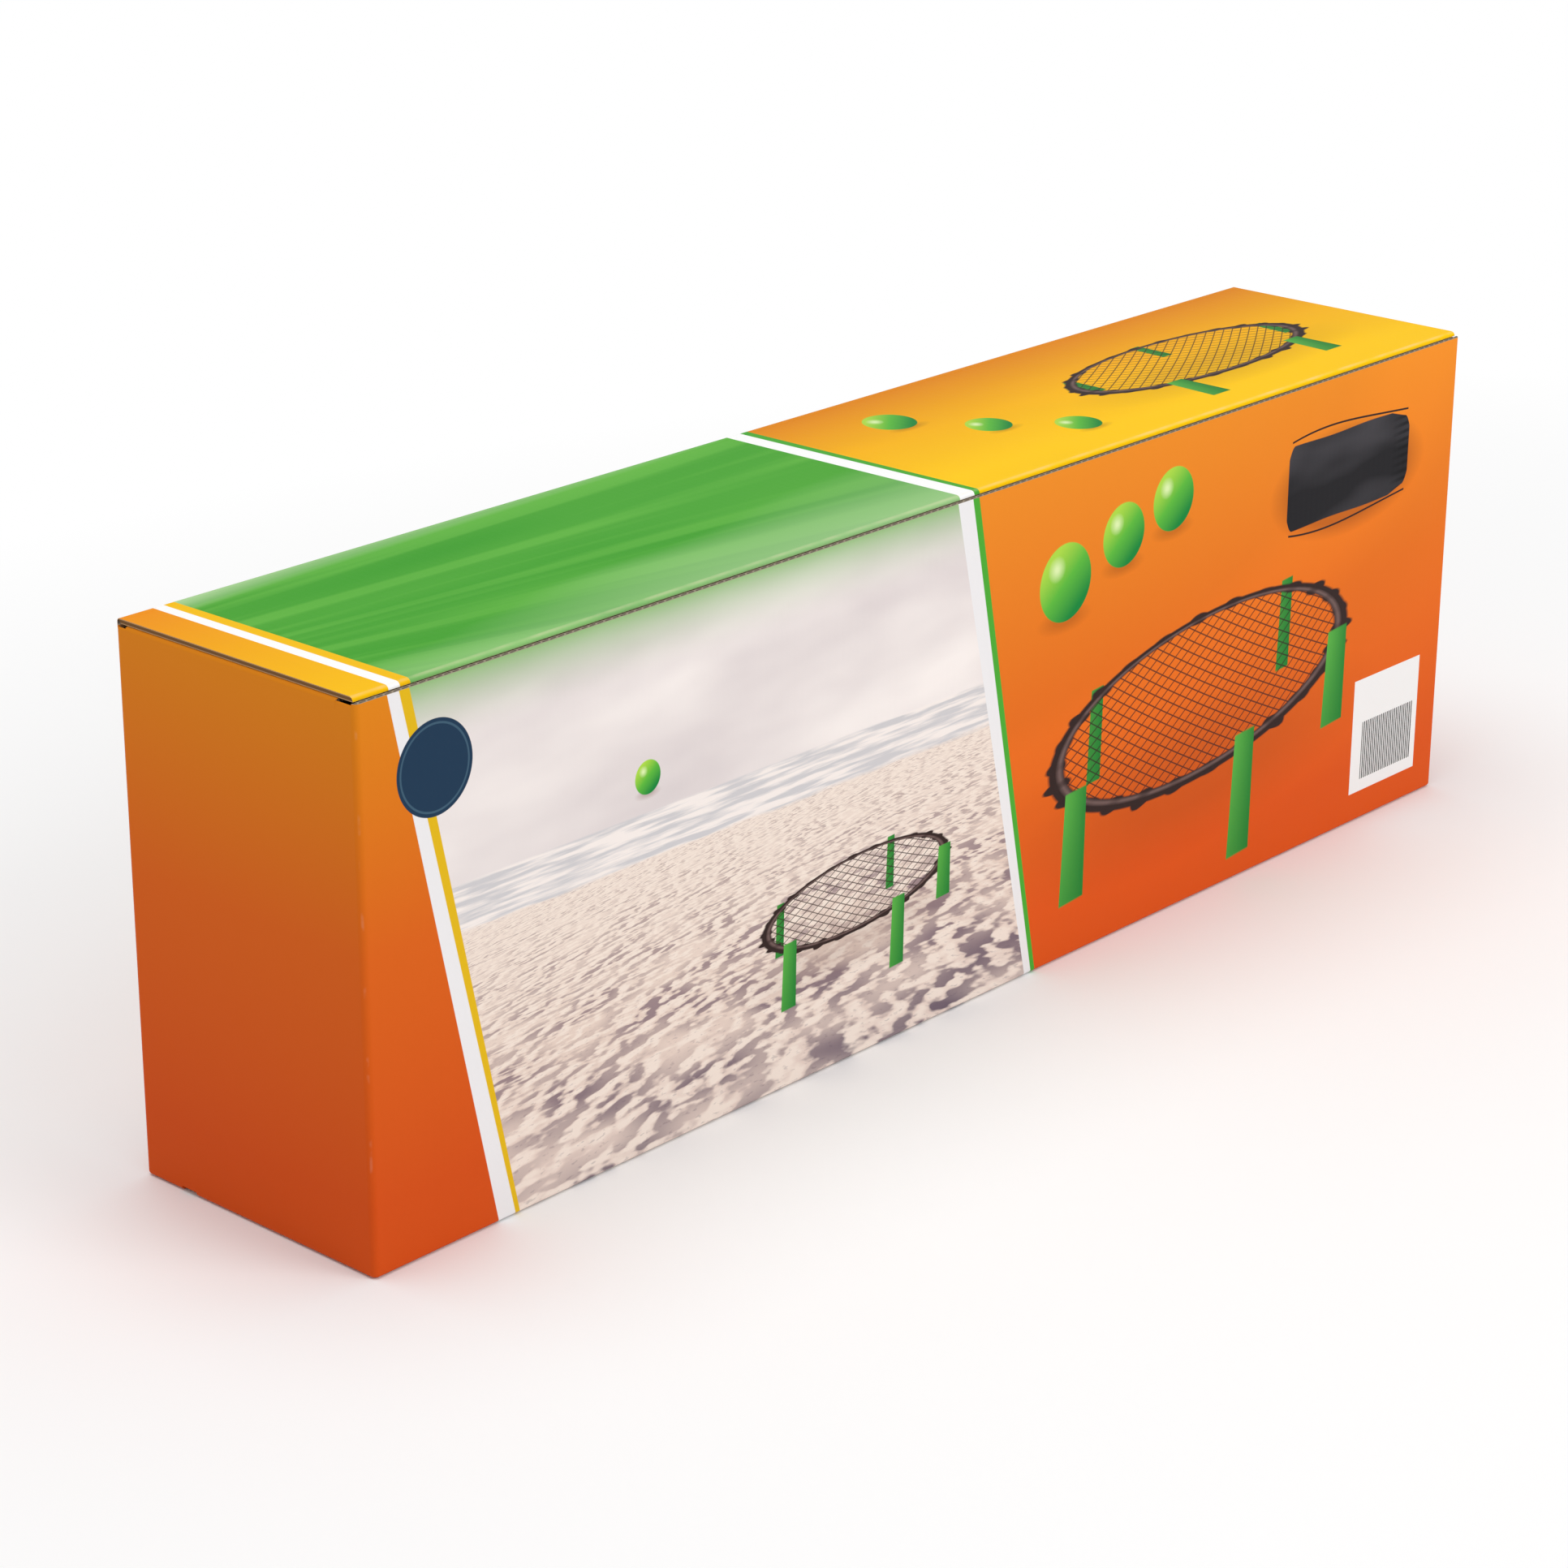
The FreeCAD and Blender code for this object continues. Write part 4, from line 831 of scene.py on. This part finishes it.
class CartonBuilder(bpy.types.Operator):
    """Prints the carton's panels and its flaps' outer sides, and leaves the rest brown"""
    bl_idname = "roundnet.carton"
    bl_label = "Dress the carton"

    def execute(self, context):
        look = context.scene.print_look
        dress_nodes(board_material("printed_sleeve", sleeve_design), "carton_sleeve")
        dress_nodes(board_material("printed_lid", lid_design), "lid_panel")
        tuck = flap_design((0.0, -1.0, 0.0), look.gold_front)
        dress_nodes(board_material("printed_tuck", tuck), "tuck_flap")
        dust = flap_design((0.0, 0.0, 1.0), look.left_top)
        dress_nodes(board_material("dust_flap_board", dust), "dust_flap_left", "dust_flap_right")
        bottom = flap_design((0.0, 0.0, -1.0), look.right_low)
        dress_nodes(board_material("bottom_flap_board", bottom), *BOTTOM_FLAPS)
        return {"FINISHED"}


def fold_line(corner, first, second, reach, skin):
    """The outline of a thin liner bent round a corner, as points of its plane.

    It runs along the first face, round a quarter turn of the board's bend and along the second face,
    and comes back at the skin's depth. Its outer side stands a hair proud of the board.
    """
    corner, first, second = (np.array(item, float) for item in (corner, first, second))
    centre = corner + (first + second) * BEND
    turn = np.linspace(0, math.pi / 2, 7)[:, None]

    def bent(size):
        return centre - second * size * np.cos(turn) - first * size * np.sin(turn)

    def run(depth):
        start = corner + first * reach + second * depth
        end = corner + second * reach + first * depth
        return np.concatenate([start[None], bent(BEND - depth), end[None]])

    return np.concatenate([run(-PROUD), run(skin - PROUD)[::-1]])


def outer_side(shader, first, second):
    """1 on a fold liner's outer side and 0 inside, from how far a point lies behind the two faces.

    On the flat runs the depth is the way behind the nearer face; round the bend it is the bend's
    radius less the distance from the bend's centre. One sum gives both.
    """
    depth = BEND - (BEND - first).high(0.0).reach((BEND - second).high(0.0))
    return depth.under(bpy.context.scene.board_look.skin / MM / 2 - PROUD, 0.04)


class CreaseBuilder(bpy.types.Operator):
    """Bridges the back fold and the dust flaps' folds with the liner that bends there"""
    bl_idname = "roundnet.creases"
    bl_label = "Add the fold liners"

    def strip(self, name, outline, across, spans, bodies, start, end, design):
        """A liner along one fold; across is the axis it runs along and spans its two ends."""
        stations = np.linspace(*spans, 40)
        grid = np.zeros((len(stations), len(outline), 3))
        grid[..., across] = stations[:, None]
        grid[..., [axis for axis in range(3) if axis != across]] = outline
        middle = grid.mean(axis=1, keepdims=True)
        caps = [np.repeat(middle[:1], len(outline), 1), grid, np.repeat(middle[-1:], len(outline), 1)]
        piece = surface(name, np.concatenate(caps), smooth=False)
        at_rest = np.empty(len(piece.data.vertices) * 3, np.float32)
        piece.data.vertices.foreach_get("co", at_rest)
        rest = piece.data.attributes.new("rest", "FLOAT_VECTOR", "POINT")
        rest.data.foreach_set("vector", at_rest)
        dress(piece, board_material(f"{name}_print", design, "rest"))
        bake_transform(piece)

    def execute(self, context):
        skin = context.scene.board_look.skin / MM
        bend = fold_line((HALF_DEPTH, HEIGHT), (0, -1), (-1, 0), reach=3.2, skin=skin)
        self.strip("back_fold", bend, 0, BACK_FOLD_ENDS, ("carton", "lid"),
                   (0, HALF_DEPTH, HEIGHT - BOARD), (0, HALF_DEPTH - BOARD, HEIGHT), self.lid_or_back)
        for label, side in (("left", -1), ("right", 1)):
            bend = fold_line((side * HALF_LENGTH, WALL_TOP), (0, -1), (-side, 0), reach=3.0, skin=skin)
            self.strip(f"{label}_dust_fold", bend, 1, DUST_FOLD_ENDS, ("carton", f"dust_{label}"),
                       (side * HALF_LENGTH, 0, WALL_TOP - BOARD),
                       (side * (HALF_LENGTH - BOARD), 0, WALL_TOP), self.end_or_flap)
        return {"FINISHED"}

    @staticmethod
    def lid_or_back(shader):
        """The lid's print on top and the back panel's below the corner, and brown inside."""
        look = bpy.context.scene.print_look
        behind, below = HALF_DEPTH - shader.y, HEIGHT - shader.z
        along = shader.x + HALF_LENGTH
        lid = lid_fields(shader, along, behind, *lid_ground(shader, along, behind))
        left, right = front_ground(shader, below)
        colours = (left, look.wall_white, look.wall_yellow, look.haze,
                   look.wall_white, look.green, right)
        wall = side_by_side(shader, HALF_LENGTH - shader.x, below, FRONT_BANDS, colours)
        colour = shader.mix(wall, lid, (behind - below).over(0.0, 0.3))
        printed = outer_side(shader, behind, below)
        return shader.mix(kraft(shader), colour, printed), printed

    @staticmethod
    def end_or_flap(shader):
        """The end panel's print, carried over the fold, and brown inside."""
        wall, _ = front_ground(shader, HEIGHT - shader.z)
        flap = bpy.context.scene.print_look.left_top
        colour = shader.mix(wall, flap, shader.z.over(WALL_TOP - BEND, 1.0))
        printed = outer_side(shader, HALF_LENGTH - abs(shader.x), WALL_TOP - shader.z)
        return shader.mix(kraft(shader), colour, printed), printed


class RimBuilder(bpy.types.Operator):
    """Gives the rim pieces their glossy brown-black plastic"""
    bl_idname = "roundnet.rim"
    bl_label = "Dress the rim pieces"

    def execute(self, context):
        shader = Shader("rim_plastic_look")
        smear = shader.noise(0.05, 3.0)
        grain = shader.noise(1.6, 2.0)
        scuff = shader.noise(0.4, 4.0, (shader.x * 0.3, shader.y * 3.0, shader.z * 0.3))
        scuffed = scuff.over(0.68, 0.08)
        look = context.scene.contents_look
        colour = shader.mix(look.rim_dark, look.rim_light, smear.over(0.5, 0.6))
        colour = shader.mix(colour, ink(96, 84, 78), scuffed * 0.35)
        roughness = grain * 0.08 + scuffed * 0.2 + look.gloss
        dress_nodes(shader.finish(colour, roughness, grain, 0.02, Coat_Weight=0.25,
                                  Coat_Roughness=0.1), *RIMS)
        return {"FINISHED"}


class LegBuilder(bpy.types.Operator):
    """Gives the legs their moulded green plastic"""
    bl_idname = "roundnet.legs"
    bl_label = "Dress the legs"

    def execute(self, context):
        shader = Shader("leg_plastic_look")
        flow = shader.noise(0.06, 3.0, (shader.x * 0.2, shader.y, shader.z))
        spark = shader.noise(3.0, 2.0)
        look = context.scene.contents_look
        colour = shader.mix(look.leg_dark, look.leg_light, flow.over(0.5, 0.5))
        roughness = spark * 0.14 + (look.gloss + 0.16)
        dress_nodes(shader.finish(colour, roughness, spark, 0.05, Specular_IOR_Level=0.5), *LEGS)
        return {"FINISHED"}


class BallBuilder(bpy.types.Operator):
    """Gives the unblown balls their glossy, slightly milky rubber"""
    bl_idname = "roundnet.balls"
    bl_label = "Dress the balls"

    def execute(self, context):
        look = context.scene.contents_look
        for name in ("ball_training", "ball_match_1", "ball_match_2"):
            low, high = corners(name)
            middle, half = (low + high) / 2, (high[0] - low[0]) / 2
            shader = Shader(f"{name}_look")
            # Painted light: each ball is darker low and lighter towards its top, with a little random
            # cloud
            rise = (shader.z - middle[2]) / half
            cloud = shader.noise(0.04, 3.0)
            colour = shader.fade(rise + cloud * 0.6, -0.8, 1.2,
                                 look.ball_shade_low, ink(74, 164, 58), look.ball_light_high)
            seam = abs(shader.y - (low[1] + half)).under(0.5, 0.3)
            colour = shader.mix(colour, ink(52, 128, 50), seam * 0.7)
            wrinkle = shader.noise(0.09, 2.0, (shader.x, shader.y * 0.4, shader.z))
            pebble = shader.node("ShaderNodeTexVoronoi", {"feature": "F1"},
                                 {"Vector": shader.place, "Scale": 0.55}, "Distance")
            height = wrinkle + pebble * 0.06 - seam * 0.3
            roughness = cloud * 0.12 + (look.gloss + 0.02)
            dress_nodes(shader.finish(colour, roughness, height, 1.0, Coat_Weight=0.3,
                                      Coat_Roughness=0.12, Subsurface_Weight=0.1), name)
        return {"FINISHED"}


class PumpBuilder(bpy.types.Operator):
    """Gives the pump and the needle their plastics, rubber and steel"""
    bl_idname = "roundnet.pump"
    bl_label = "Dress the pump"

    def plastic(self, name, dark, light, rough):
        shader = Shader(name)
        grain = shader.noise(2.2, 3.0)
        smear = shader.noise(0.06, 2.0)
        colour = shader.mix(dark, light, smear.over(0.5, 0.6))
        return shader.finish(colour, grain * 0.12 + rough, grain, 0.03)

    def execute(self, context):
        gloss = context.scene.contents_look.gloss
        black = self.plastic("pump_barrel_look", ink(26, 26, 28), ink(44, 44, 46), gloss)
        dress_nodes(black, "pump_barrel")
        green = self.plastic("pump_trim_look", ink(38, 124, 48), ink(64, 150, 60), gloss + 0.1)
        dress_nodes(green, "pump_cap", "pump_handle")
        rubber = self.plastic("pump_rubber_look", ink(24, 24, 24), ink(40, 40, 40), 0.6)
        dress_nodes(rubber, "pump_piston")
        shader = Shader("pump_steel_look")
        lines = shader.noise(1.2, 3.0, (shader.x * 0.05, shader.y * 3.0, shader.z * 3.0))
        colour = shader.mix(ink(150, 150, 150), ink(206, 206, 204), lines.over(0.5, 0.5))
        steel = shader.finish(colour, lines * 0.2 + 0.18, lines, 0.02, Metallic=1.0)
        dress_nodes(steel, "pump_rod", "ball_needle")
        return {"FINISHED"}


class BagBuilder(bpy.types.Operator):
    """Folds the carry bag into the space beside the balls

    The block's sides are pinched between its layers, its flat faces have narrow valleys where two
    crossed waves pass nought, and its top steps down past the hem's two rows of stitches.
    """
    bl_idname = "roundnet.bag"
    bl_label = "Fold the bag"

    def execute(self, context):
        look = context.scene.contents_look
        low, high = corners("carry_bag")
        middle, half = (low + high) / 2, (high - low) / 2
        grid = soft_block(130, 150, 0.3)
        x, y, z = grid[..., 0], grid[..., 1], grid[..., 2]
        layer = 0.5 - 0.5 * np.cos(math.pi * look.bag_folds * (z + 1) + 0.5 * np.sin(1.7 * x - y))
        sideways = np.clip(np.maximum(np.abs(x), np.abs(y)), 0, 1) ** 3
        inward = 0.13 * (1 - layer ** 0.35) * sideways
        rumple = 0.02 * np.sin(5.1 * x + 2.3 * y) * np.cos(3.7 * y - 1.9 * x) * (np.abs(z) ** 2)
        slump = 0.03 * np.sin(2.2 * y + 0.8) * np.abs(x)
        valley = (1 - np.abs(np.sin(3.1 * x + 2.0 * y + 0.8 * np.sin(2.4 * y)))) ** 4
        valley = valley + 0.7 * (1 - np.abs(np.sin(1.3 * x - 3.3 * y + 0.7 + 0.4 * np.sin(3 * x)))) ** 5
        flat = np.clip(np.abs(z) * 5 - 3.6, 0, 1)
        hem = 0.5 + 0.5 * np.tanh((x - HEM + 0.03 * np.sin(3 * y)) * 45)
        grid = grid * (1 - inward)[..., None]
        grid[..., 2] -= rumple + slump * np.abs(z) + 0.03 * np.sign(z) * np.abs(z) ** 4
        grid[..., 2] -= np.sign(z) * 0.075 * valley * flat + 0.06 * hem * np.clip(z * 8 - 6, 0, 1)
        piece = surface("folded_bag", cradle(middle + grid * half * 0.995, clearance=0.6))
        shader = Shader("bag_cloth_look")
        weave = (shader.x * 2.4).sin() * (shader.y * 2.4 + shader.z * 2.4).sin()
        nap = shader.noise(0.35, 4.0)
        crease = shader.noise(0.05, 3.0, (shader.x, shader.y * 0.4, shader.z * 2.0))
        stitches = (shader.y * 1.9).sin().over(-0.3, 0.4)
        past_hem = shader.x - (middle[0] + HEM * half[0])
        rows = [abs(past_hem + aside).under(0.45, 0.3) for aside in (2.6, 5.2)]
        seam = rows[0].high(rows[1]) * shader.z.over(middle[2] + half[2] * 0.7, 1.0)
        colour = shader.mix(look.cloth_dark, look.cloth_light, nap.over(0.5, 0.5))
        colour = shader.mix(colour, ink(84, 82, 86), weave.over(0.4, 0.6) * 0.25)
        colour = shader.mix(colour, ink(112, 110, 114), seam * stitches * 0.8)
        height = weave * 0.12 + crease * 1.4 - seam * 0.5 + stitches * seam * 0.7
        dress(piece, shader.finish(colour, nap * 0.2 + 0.62, height, 1.0, Sheen_Weight=0.25,
                                   Sheen_Roughness=0.5))
        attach(piece, "carton")
        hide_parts("carry_bag")
        return {"FINISHED"}


class NetBuilder(bpy.types.Operator):
    """Gathers the net into a bundle of crossing cords"""
    bl_idname = "roundnet.net"
    bl_label = "Gather the net"

    def heap(self, across, along, middle, half, depth):
        """Points of the bundle from the flat net's across and along values.

        The net is wrapped round the block: its middle lies on top, the distance from the middle
        becomes the angle from the top, and the direction is squared off and pushed in and out by a
        few crossed waves, as gathered netting lies.
        """
        reach = np.hypot(across, along)
        ring = np.sin(reach * WRAP) / np.maximum(reach, 1e-6)
        spot = np.stack([ring * across, ring * along, np.cos(reach * WRAP)], axis=-1)
        spot /= (np.abs(spot) ** 3.2).sum(axis=-1, keepdims=True) ** (1 / 3.2)
        x, y, z = spot[..., 0], spot[..., 1], spot[..., 2]
        swell = (np.sin(6.3 * x + 1.2 * y) * np.cos(5.2 * y - 2.1 * z)
                 + 0.7 * np.sin(9.1 * y + 4.3 * z) * np.cos(7.7 * x))
        spot = spot * (0.95 + 0.03 * swell)[..., None]
        return middle + spot * (half - depth)

    def execute(self, context):
        look = context.scene.contents_look
        low, high = corners("net_bundle")
        middle, half = (low + high) / 2, (high - low) / 2
        turn = np.linspace(-math.pi, math.pi, 90, endpoint=False)[None, :]
        reach = np.linspace(0.0, math.pi / WRAP, 70)[:, None]
        shell = self.heap(reach * np.cos(turn), reach * np.sin(turn), middle, half, CORE_DEPTH)
        core = surface("net_core", cradle(shell, clearance=3.4))
        step = np.linspace(-OUTER_CORD, OUTER_CORD, look.cords)[:, None]
        run = np.linspace(-1.0, 1.0, 130)[None, :] * np.sqrt(np.maximum(SHEET ** 2 - step ** 2, 0.01))
        paths = []
        for side, depth in zip((1, -1), CORD_DEPTHS):
            bent = step + 0.05 * np.sin(5.0 * run + 2.0 * step * side)
            across, along = (run + bent * side) * DIAGONAL, (run * side - bent) * DIAGONAL
            paths.append(self.heap(across, along, middle, half, depth))
        paths = cradle(np.concatenate(paths), clearance=1.8)
        cords = tubes("net_cords", paths, look.cord_radius / MM)
        shader = Shader("net_cord_look")
        braid = ((shader.x + shader.z) * 4.0).sin() * ((shader.y - shader.z) * 4.0).sin()
        fuzz = shader.noise(0.8, 3.0)
        colour = shader.mix(look.cord_dark, look.cord_light, braid.over(0.1, 0.8) * 0.6 + fuzz * 0.3)
        cord = shader.finish(colour, fuzz * 0.2 + 0.55, braid, 0.25)
        # The core stands for the deeper netting: the cord's near-black, darkened further as painted
        # shade
        shader = Shader("net_core_look")
        fuzz = shader.noise(0.5, 3.0)
        colour = shader.mix(ink(12, 12, 13), ink(30, 29, 32), fuzz)
        dark = shader.finish(colour, fuzz * 0.2 + 0.7, fuzz, 1.0)
        for piece, material in ((core, dark), (cords, cord)):
            dress(piece, material)
            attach(piece, "carton")
        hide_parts("net_bundle")
        return {"FINISHED"}


class LeafletBuilder(bpy.types.Operator):
    """Gives the leaflet its paper, its fold, and painted shade along the fold and in the lines between
    its sheets
    """
    bl_idname = "roundnet.leaflet"
    bl_label = "Dress the leaflet"

    def execute(self, context):
        low, high = corners("instruction_leaflet")
        shader = Shader("leaflet_look")
        fibre = shader.noise(1.2, 4.0)
        paper = context.scene.contents_look.paper
        colour = shader.mix(ink(226, 224, 218), paper, fibre.over(0.5, 0.5))
        # Painted shade in the thin gaps between the sheets, on the leaflet's sides
        sheets = ((shader.z - low[2]) / 0.2).fraction().over(0.7, 0.2)
        edge = shader.z.under(high[2] - 0.03, 0.02)
        colour = shader.mix(colour, ink(168, 166, 160), sheets * edge)
        # Painted shade along the fold's groove
        fold = abs(shader.x - (low[0] + high[0]) / 2).under(0.3, 0.4)
        colour = shader.mix(colour, ink(206, 203, 196), fold)
        height = fibre * 0.1 - fold + shader.noise(0.03, 2.0) * 2.0
        dress_nodes(shader.finish(colour, fibre * 0.1 + 0.7, height, 0.3), "instruction_leaflet")
        return {"FINISHED"}


class StageBuilder(bpy.types.Operator):
    """Sets the camera, the pale floor and the soft light"""
    bl_idname = "roundnet.stage"
    bl_label = "Set the stage"

    def lamp(self, name, place, size, power, target=(0, 0, 0.09)):
        data = bpy.data.lights.new(name, "AREA")
        data.shape = "DISK"
        data.size = size
        data.energy = power
        lamp = bpy.data.objects.new(name, data)
        lamp.location = place
        lamp.rotation_euler = (Vector(target) - Vector(place)).to_track_quat("-Z", "Y").to_euler()
        bpy.context.scene.collection.objects.link(lamp)

    def execute(self, context):
        look = context.scene.stage_look
        scene = context.scene
        data = bpy.data.cameras.new("photo_camera")
        data.sensor_width = 36.0
        data.sensor_fit = "HORIZONTAL"
        data.lens = look.lens
        data.clip_start = 0.01
        camera = bpy.data.objects.new("photo_camera", data)
        camera.location = look.camera_place
        camera.rotation_euler = look.camera_turn
        scene.collection.objects.link(camera)
        scene.camera = camera

        far, white = 12.0, (1.0, 1.0, 1.0, 1.0)
        mesh = bpy.data.meshes.new("floor")
        mesh.from_pydata([(-far, -far, 0), (far, -far, 0), (far, far, 0), (-far, far, 0)],
                         [], [(0, 1, 2, 3)])
        floor = bpy.data.objects.new("floor", mesh)
        # A hair under the carton, so that the two faces don't share one plane
        floor.location.z = -0.0004
        scene.collection.objects.link(floor)
        shader = Shader("pale_floor")
        cloud = shader.noise(0.0008, 2.0)
        paint = shader.mix(ink(248, 248, 248), look.floor_tone, cloud)
        # Far from the carton the floor is seen as plain white, with no shade on it
        away = (shader.x / 1.5).reach(shader.y).over(430.0, 420.0)
        camera_ray, glossy_ray, clear_ray = (
            shader.node("ShaderNodeLightPath", output=f"Is {kind} Ray")
            for kind in ("Camera", "Glossy", "Transmission"))
        plain = shader.node("ShaderNodeEmission", inputs={"Color": white})
        matt = shader.node("ShaderNodeBsdfPrincipled", inputs={
            "Base Color": paint, "Roughness": cloud * 0.1 + 0.75, "Specular IOR Level": 0.1})
        unlit = away * camera_ray.high(glossy_ray).high(clear_ray)
        both = shader.node("ShaderNodeMixShader", inputs=(unlit, matt, plain))
        shader.node("ShaderNodeOutputMaterial", inputs={"Surface": both})
        dress(floor, shader.material)

        scene.world = bpy.data.worlds.new("soft_sky")
        sky = Nodes(scene.world)
        glow, backdrop = (
            sky.node("ShaderNodeBackground", inputs={"Color": white, "Strength": strength})
            for strength in (look.sky, 1.0))
        camera_ray = sky.node("ShaderNodeLightPath", output="Is Camera Ray")
        both = sky.node("ShaderNodeMixShader", inputs=(camera_ray, glow, backdrop))
        sky.node("ShaderNodeOutputWorld", inputs={"Surface": both})

        self.lamp("key", (0.7, -2.4, 1.3), 1.6, look.key)
        self.lamp("overhead", (-0.3, 0.2, 2.2), 1.8, look.top)
        scene.view_settings.view_transform = "Standard"
        return {"FINISHED"}


PIECES = [CartonBuilder, CreaseBuilder, RimBuilder, LegBuilder, BallBuilder, PumpBuilder,
          BagBuilder, NetBuilder, LeafletBuilder, StageBuilder]
LOOKS = {"print_look": PrintLook, "board_look": BoardLook, "contents_look": ContentsLook,
         "stage_look": StageLook}


class RoundnetPanel(bpy.types.Panel):
    """Builds the pieces and shows their settings"""
    bl_idname = "VIEW3D_PT_roundnet"
    bl_label = "Roundnet set"
    bl_space_type = "VIEW_3D"
    bl_region_type = "UI"
    bl_category = "Roundnet"

    def draw(self, context):
        for name in LOOKS:
            box = self.layout.box()
            look = getattr(context.scene, name)
            for key in look.bl_rna.properties.keys():
                if key not in ("rna_type", "name"):
                    box.prop(look, key)
        for piece in PIECES:
            self.layout.operator(piece.bl_idname)


def register():
    for item in (*LOOKS.values(), *PIECES, RoundnetPanel):
        bpy.utils.register_class(item)
    for name, look in LOOKS.items():
        setattr(bpy.types.Scene, name, PointerProperty(type=look))


def unregister():
    for name in LOOKS:
        delattr(bpy.types.Scene, name)
    for item in (RoundnetPanel, *PIECES, *LOOKS.values()):
        bpy.utils.unregister_class(item)


def main():
    register()
    bpy.ops.roundnet.carton()
    bpy.ops.roundnet.creases()
    bpy.ops.roundnet.rim()
    bpy.ops.roundnet.legs()
    bpy.ops.roundnet.balls()
    bpy.ops.roundnet.pump()
    bpy.ops.roundnet.bag()
    bpy.ops.roundnet.net()
    bpy.ops.roundnet.leaflet()
    bpy.ops.roundnet.stage()


if __name__ == "__main__":
    main()
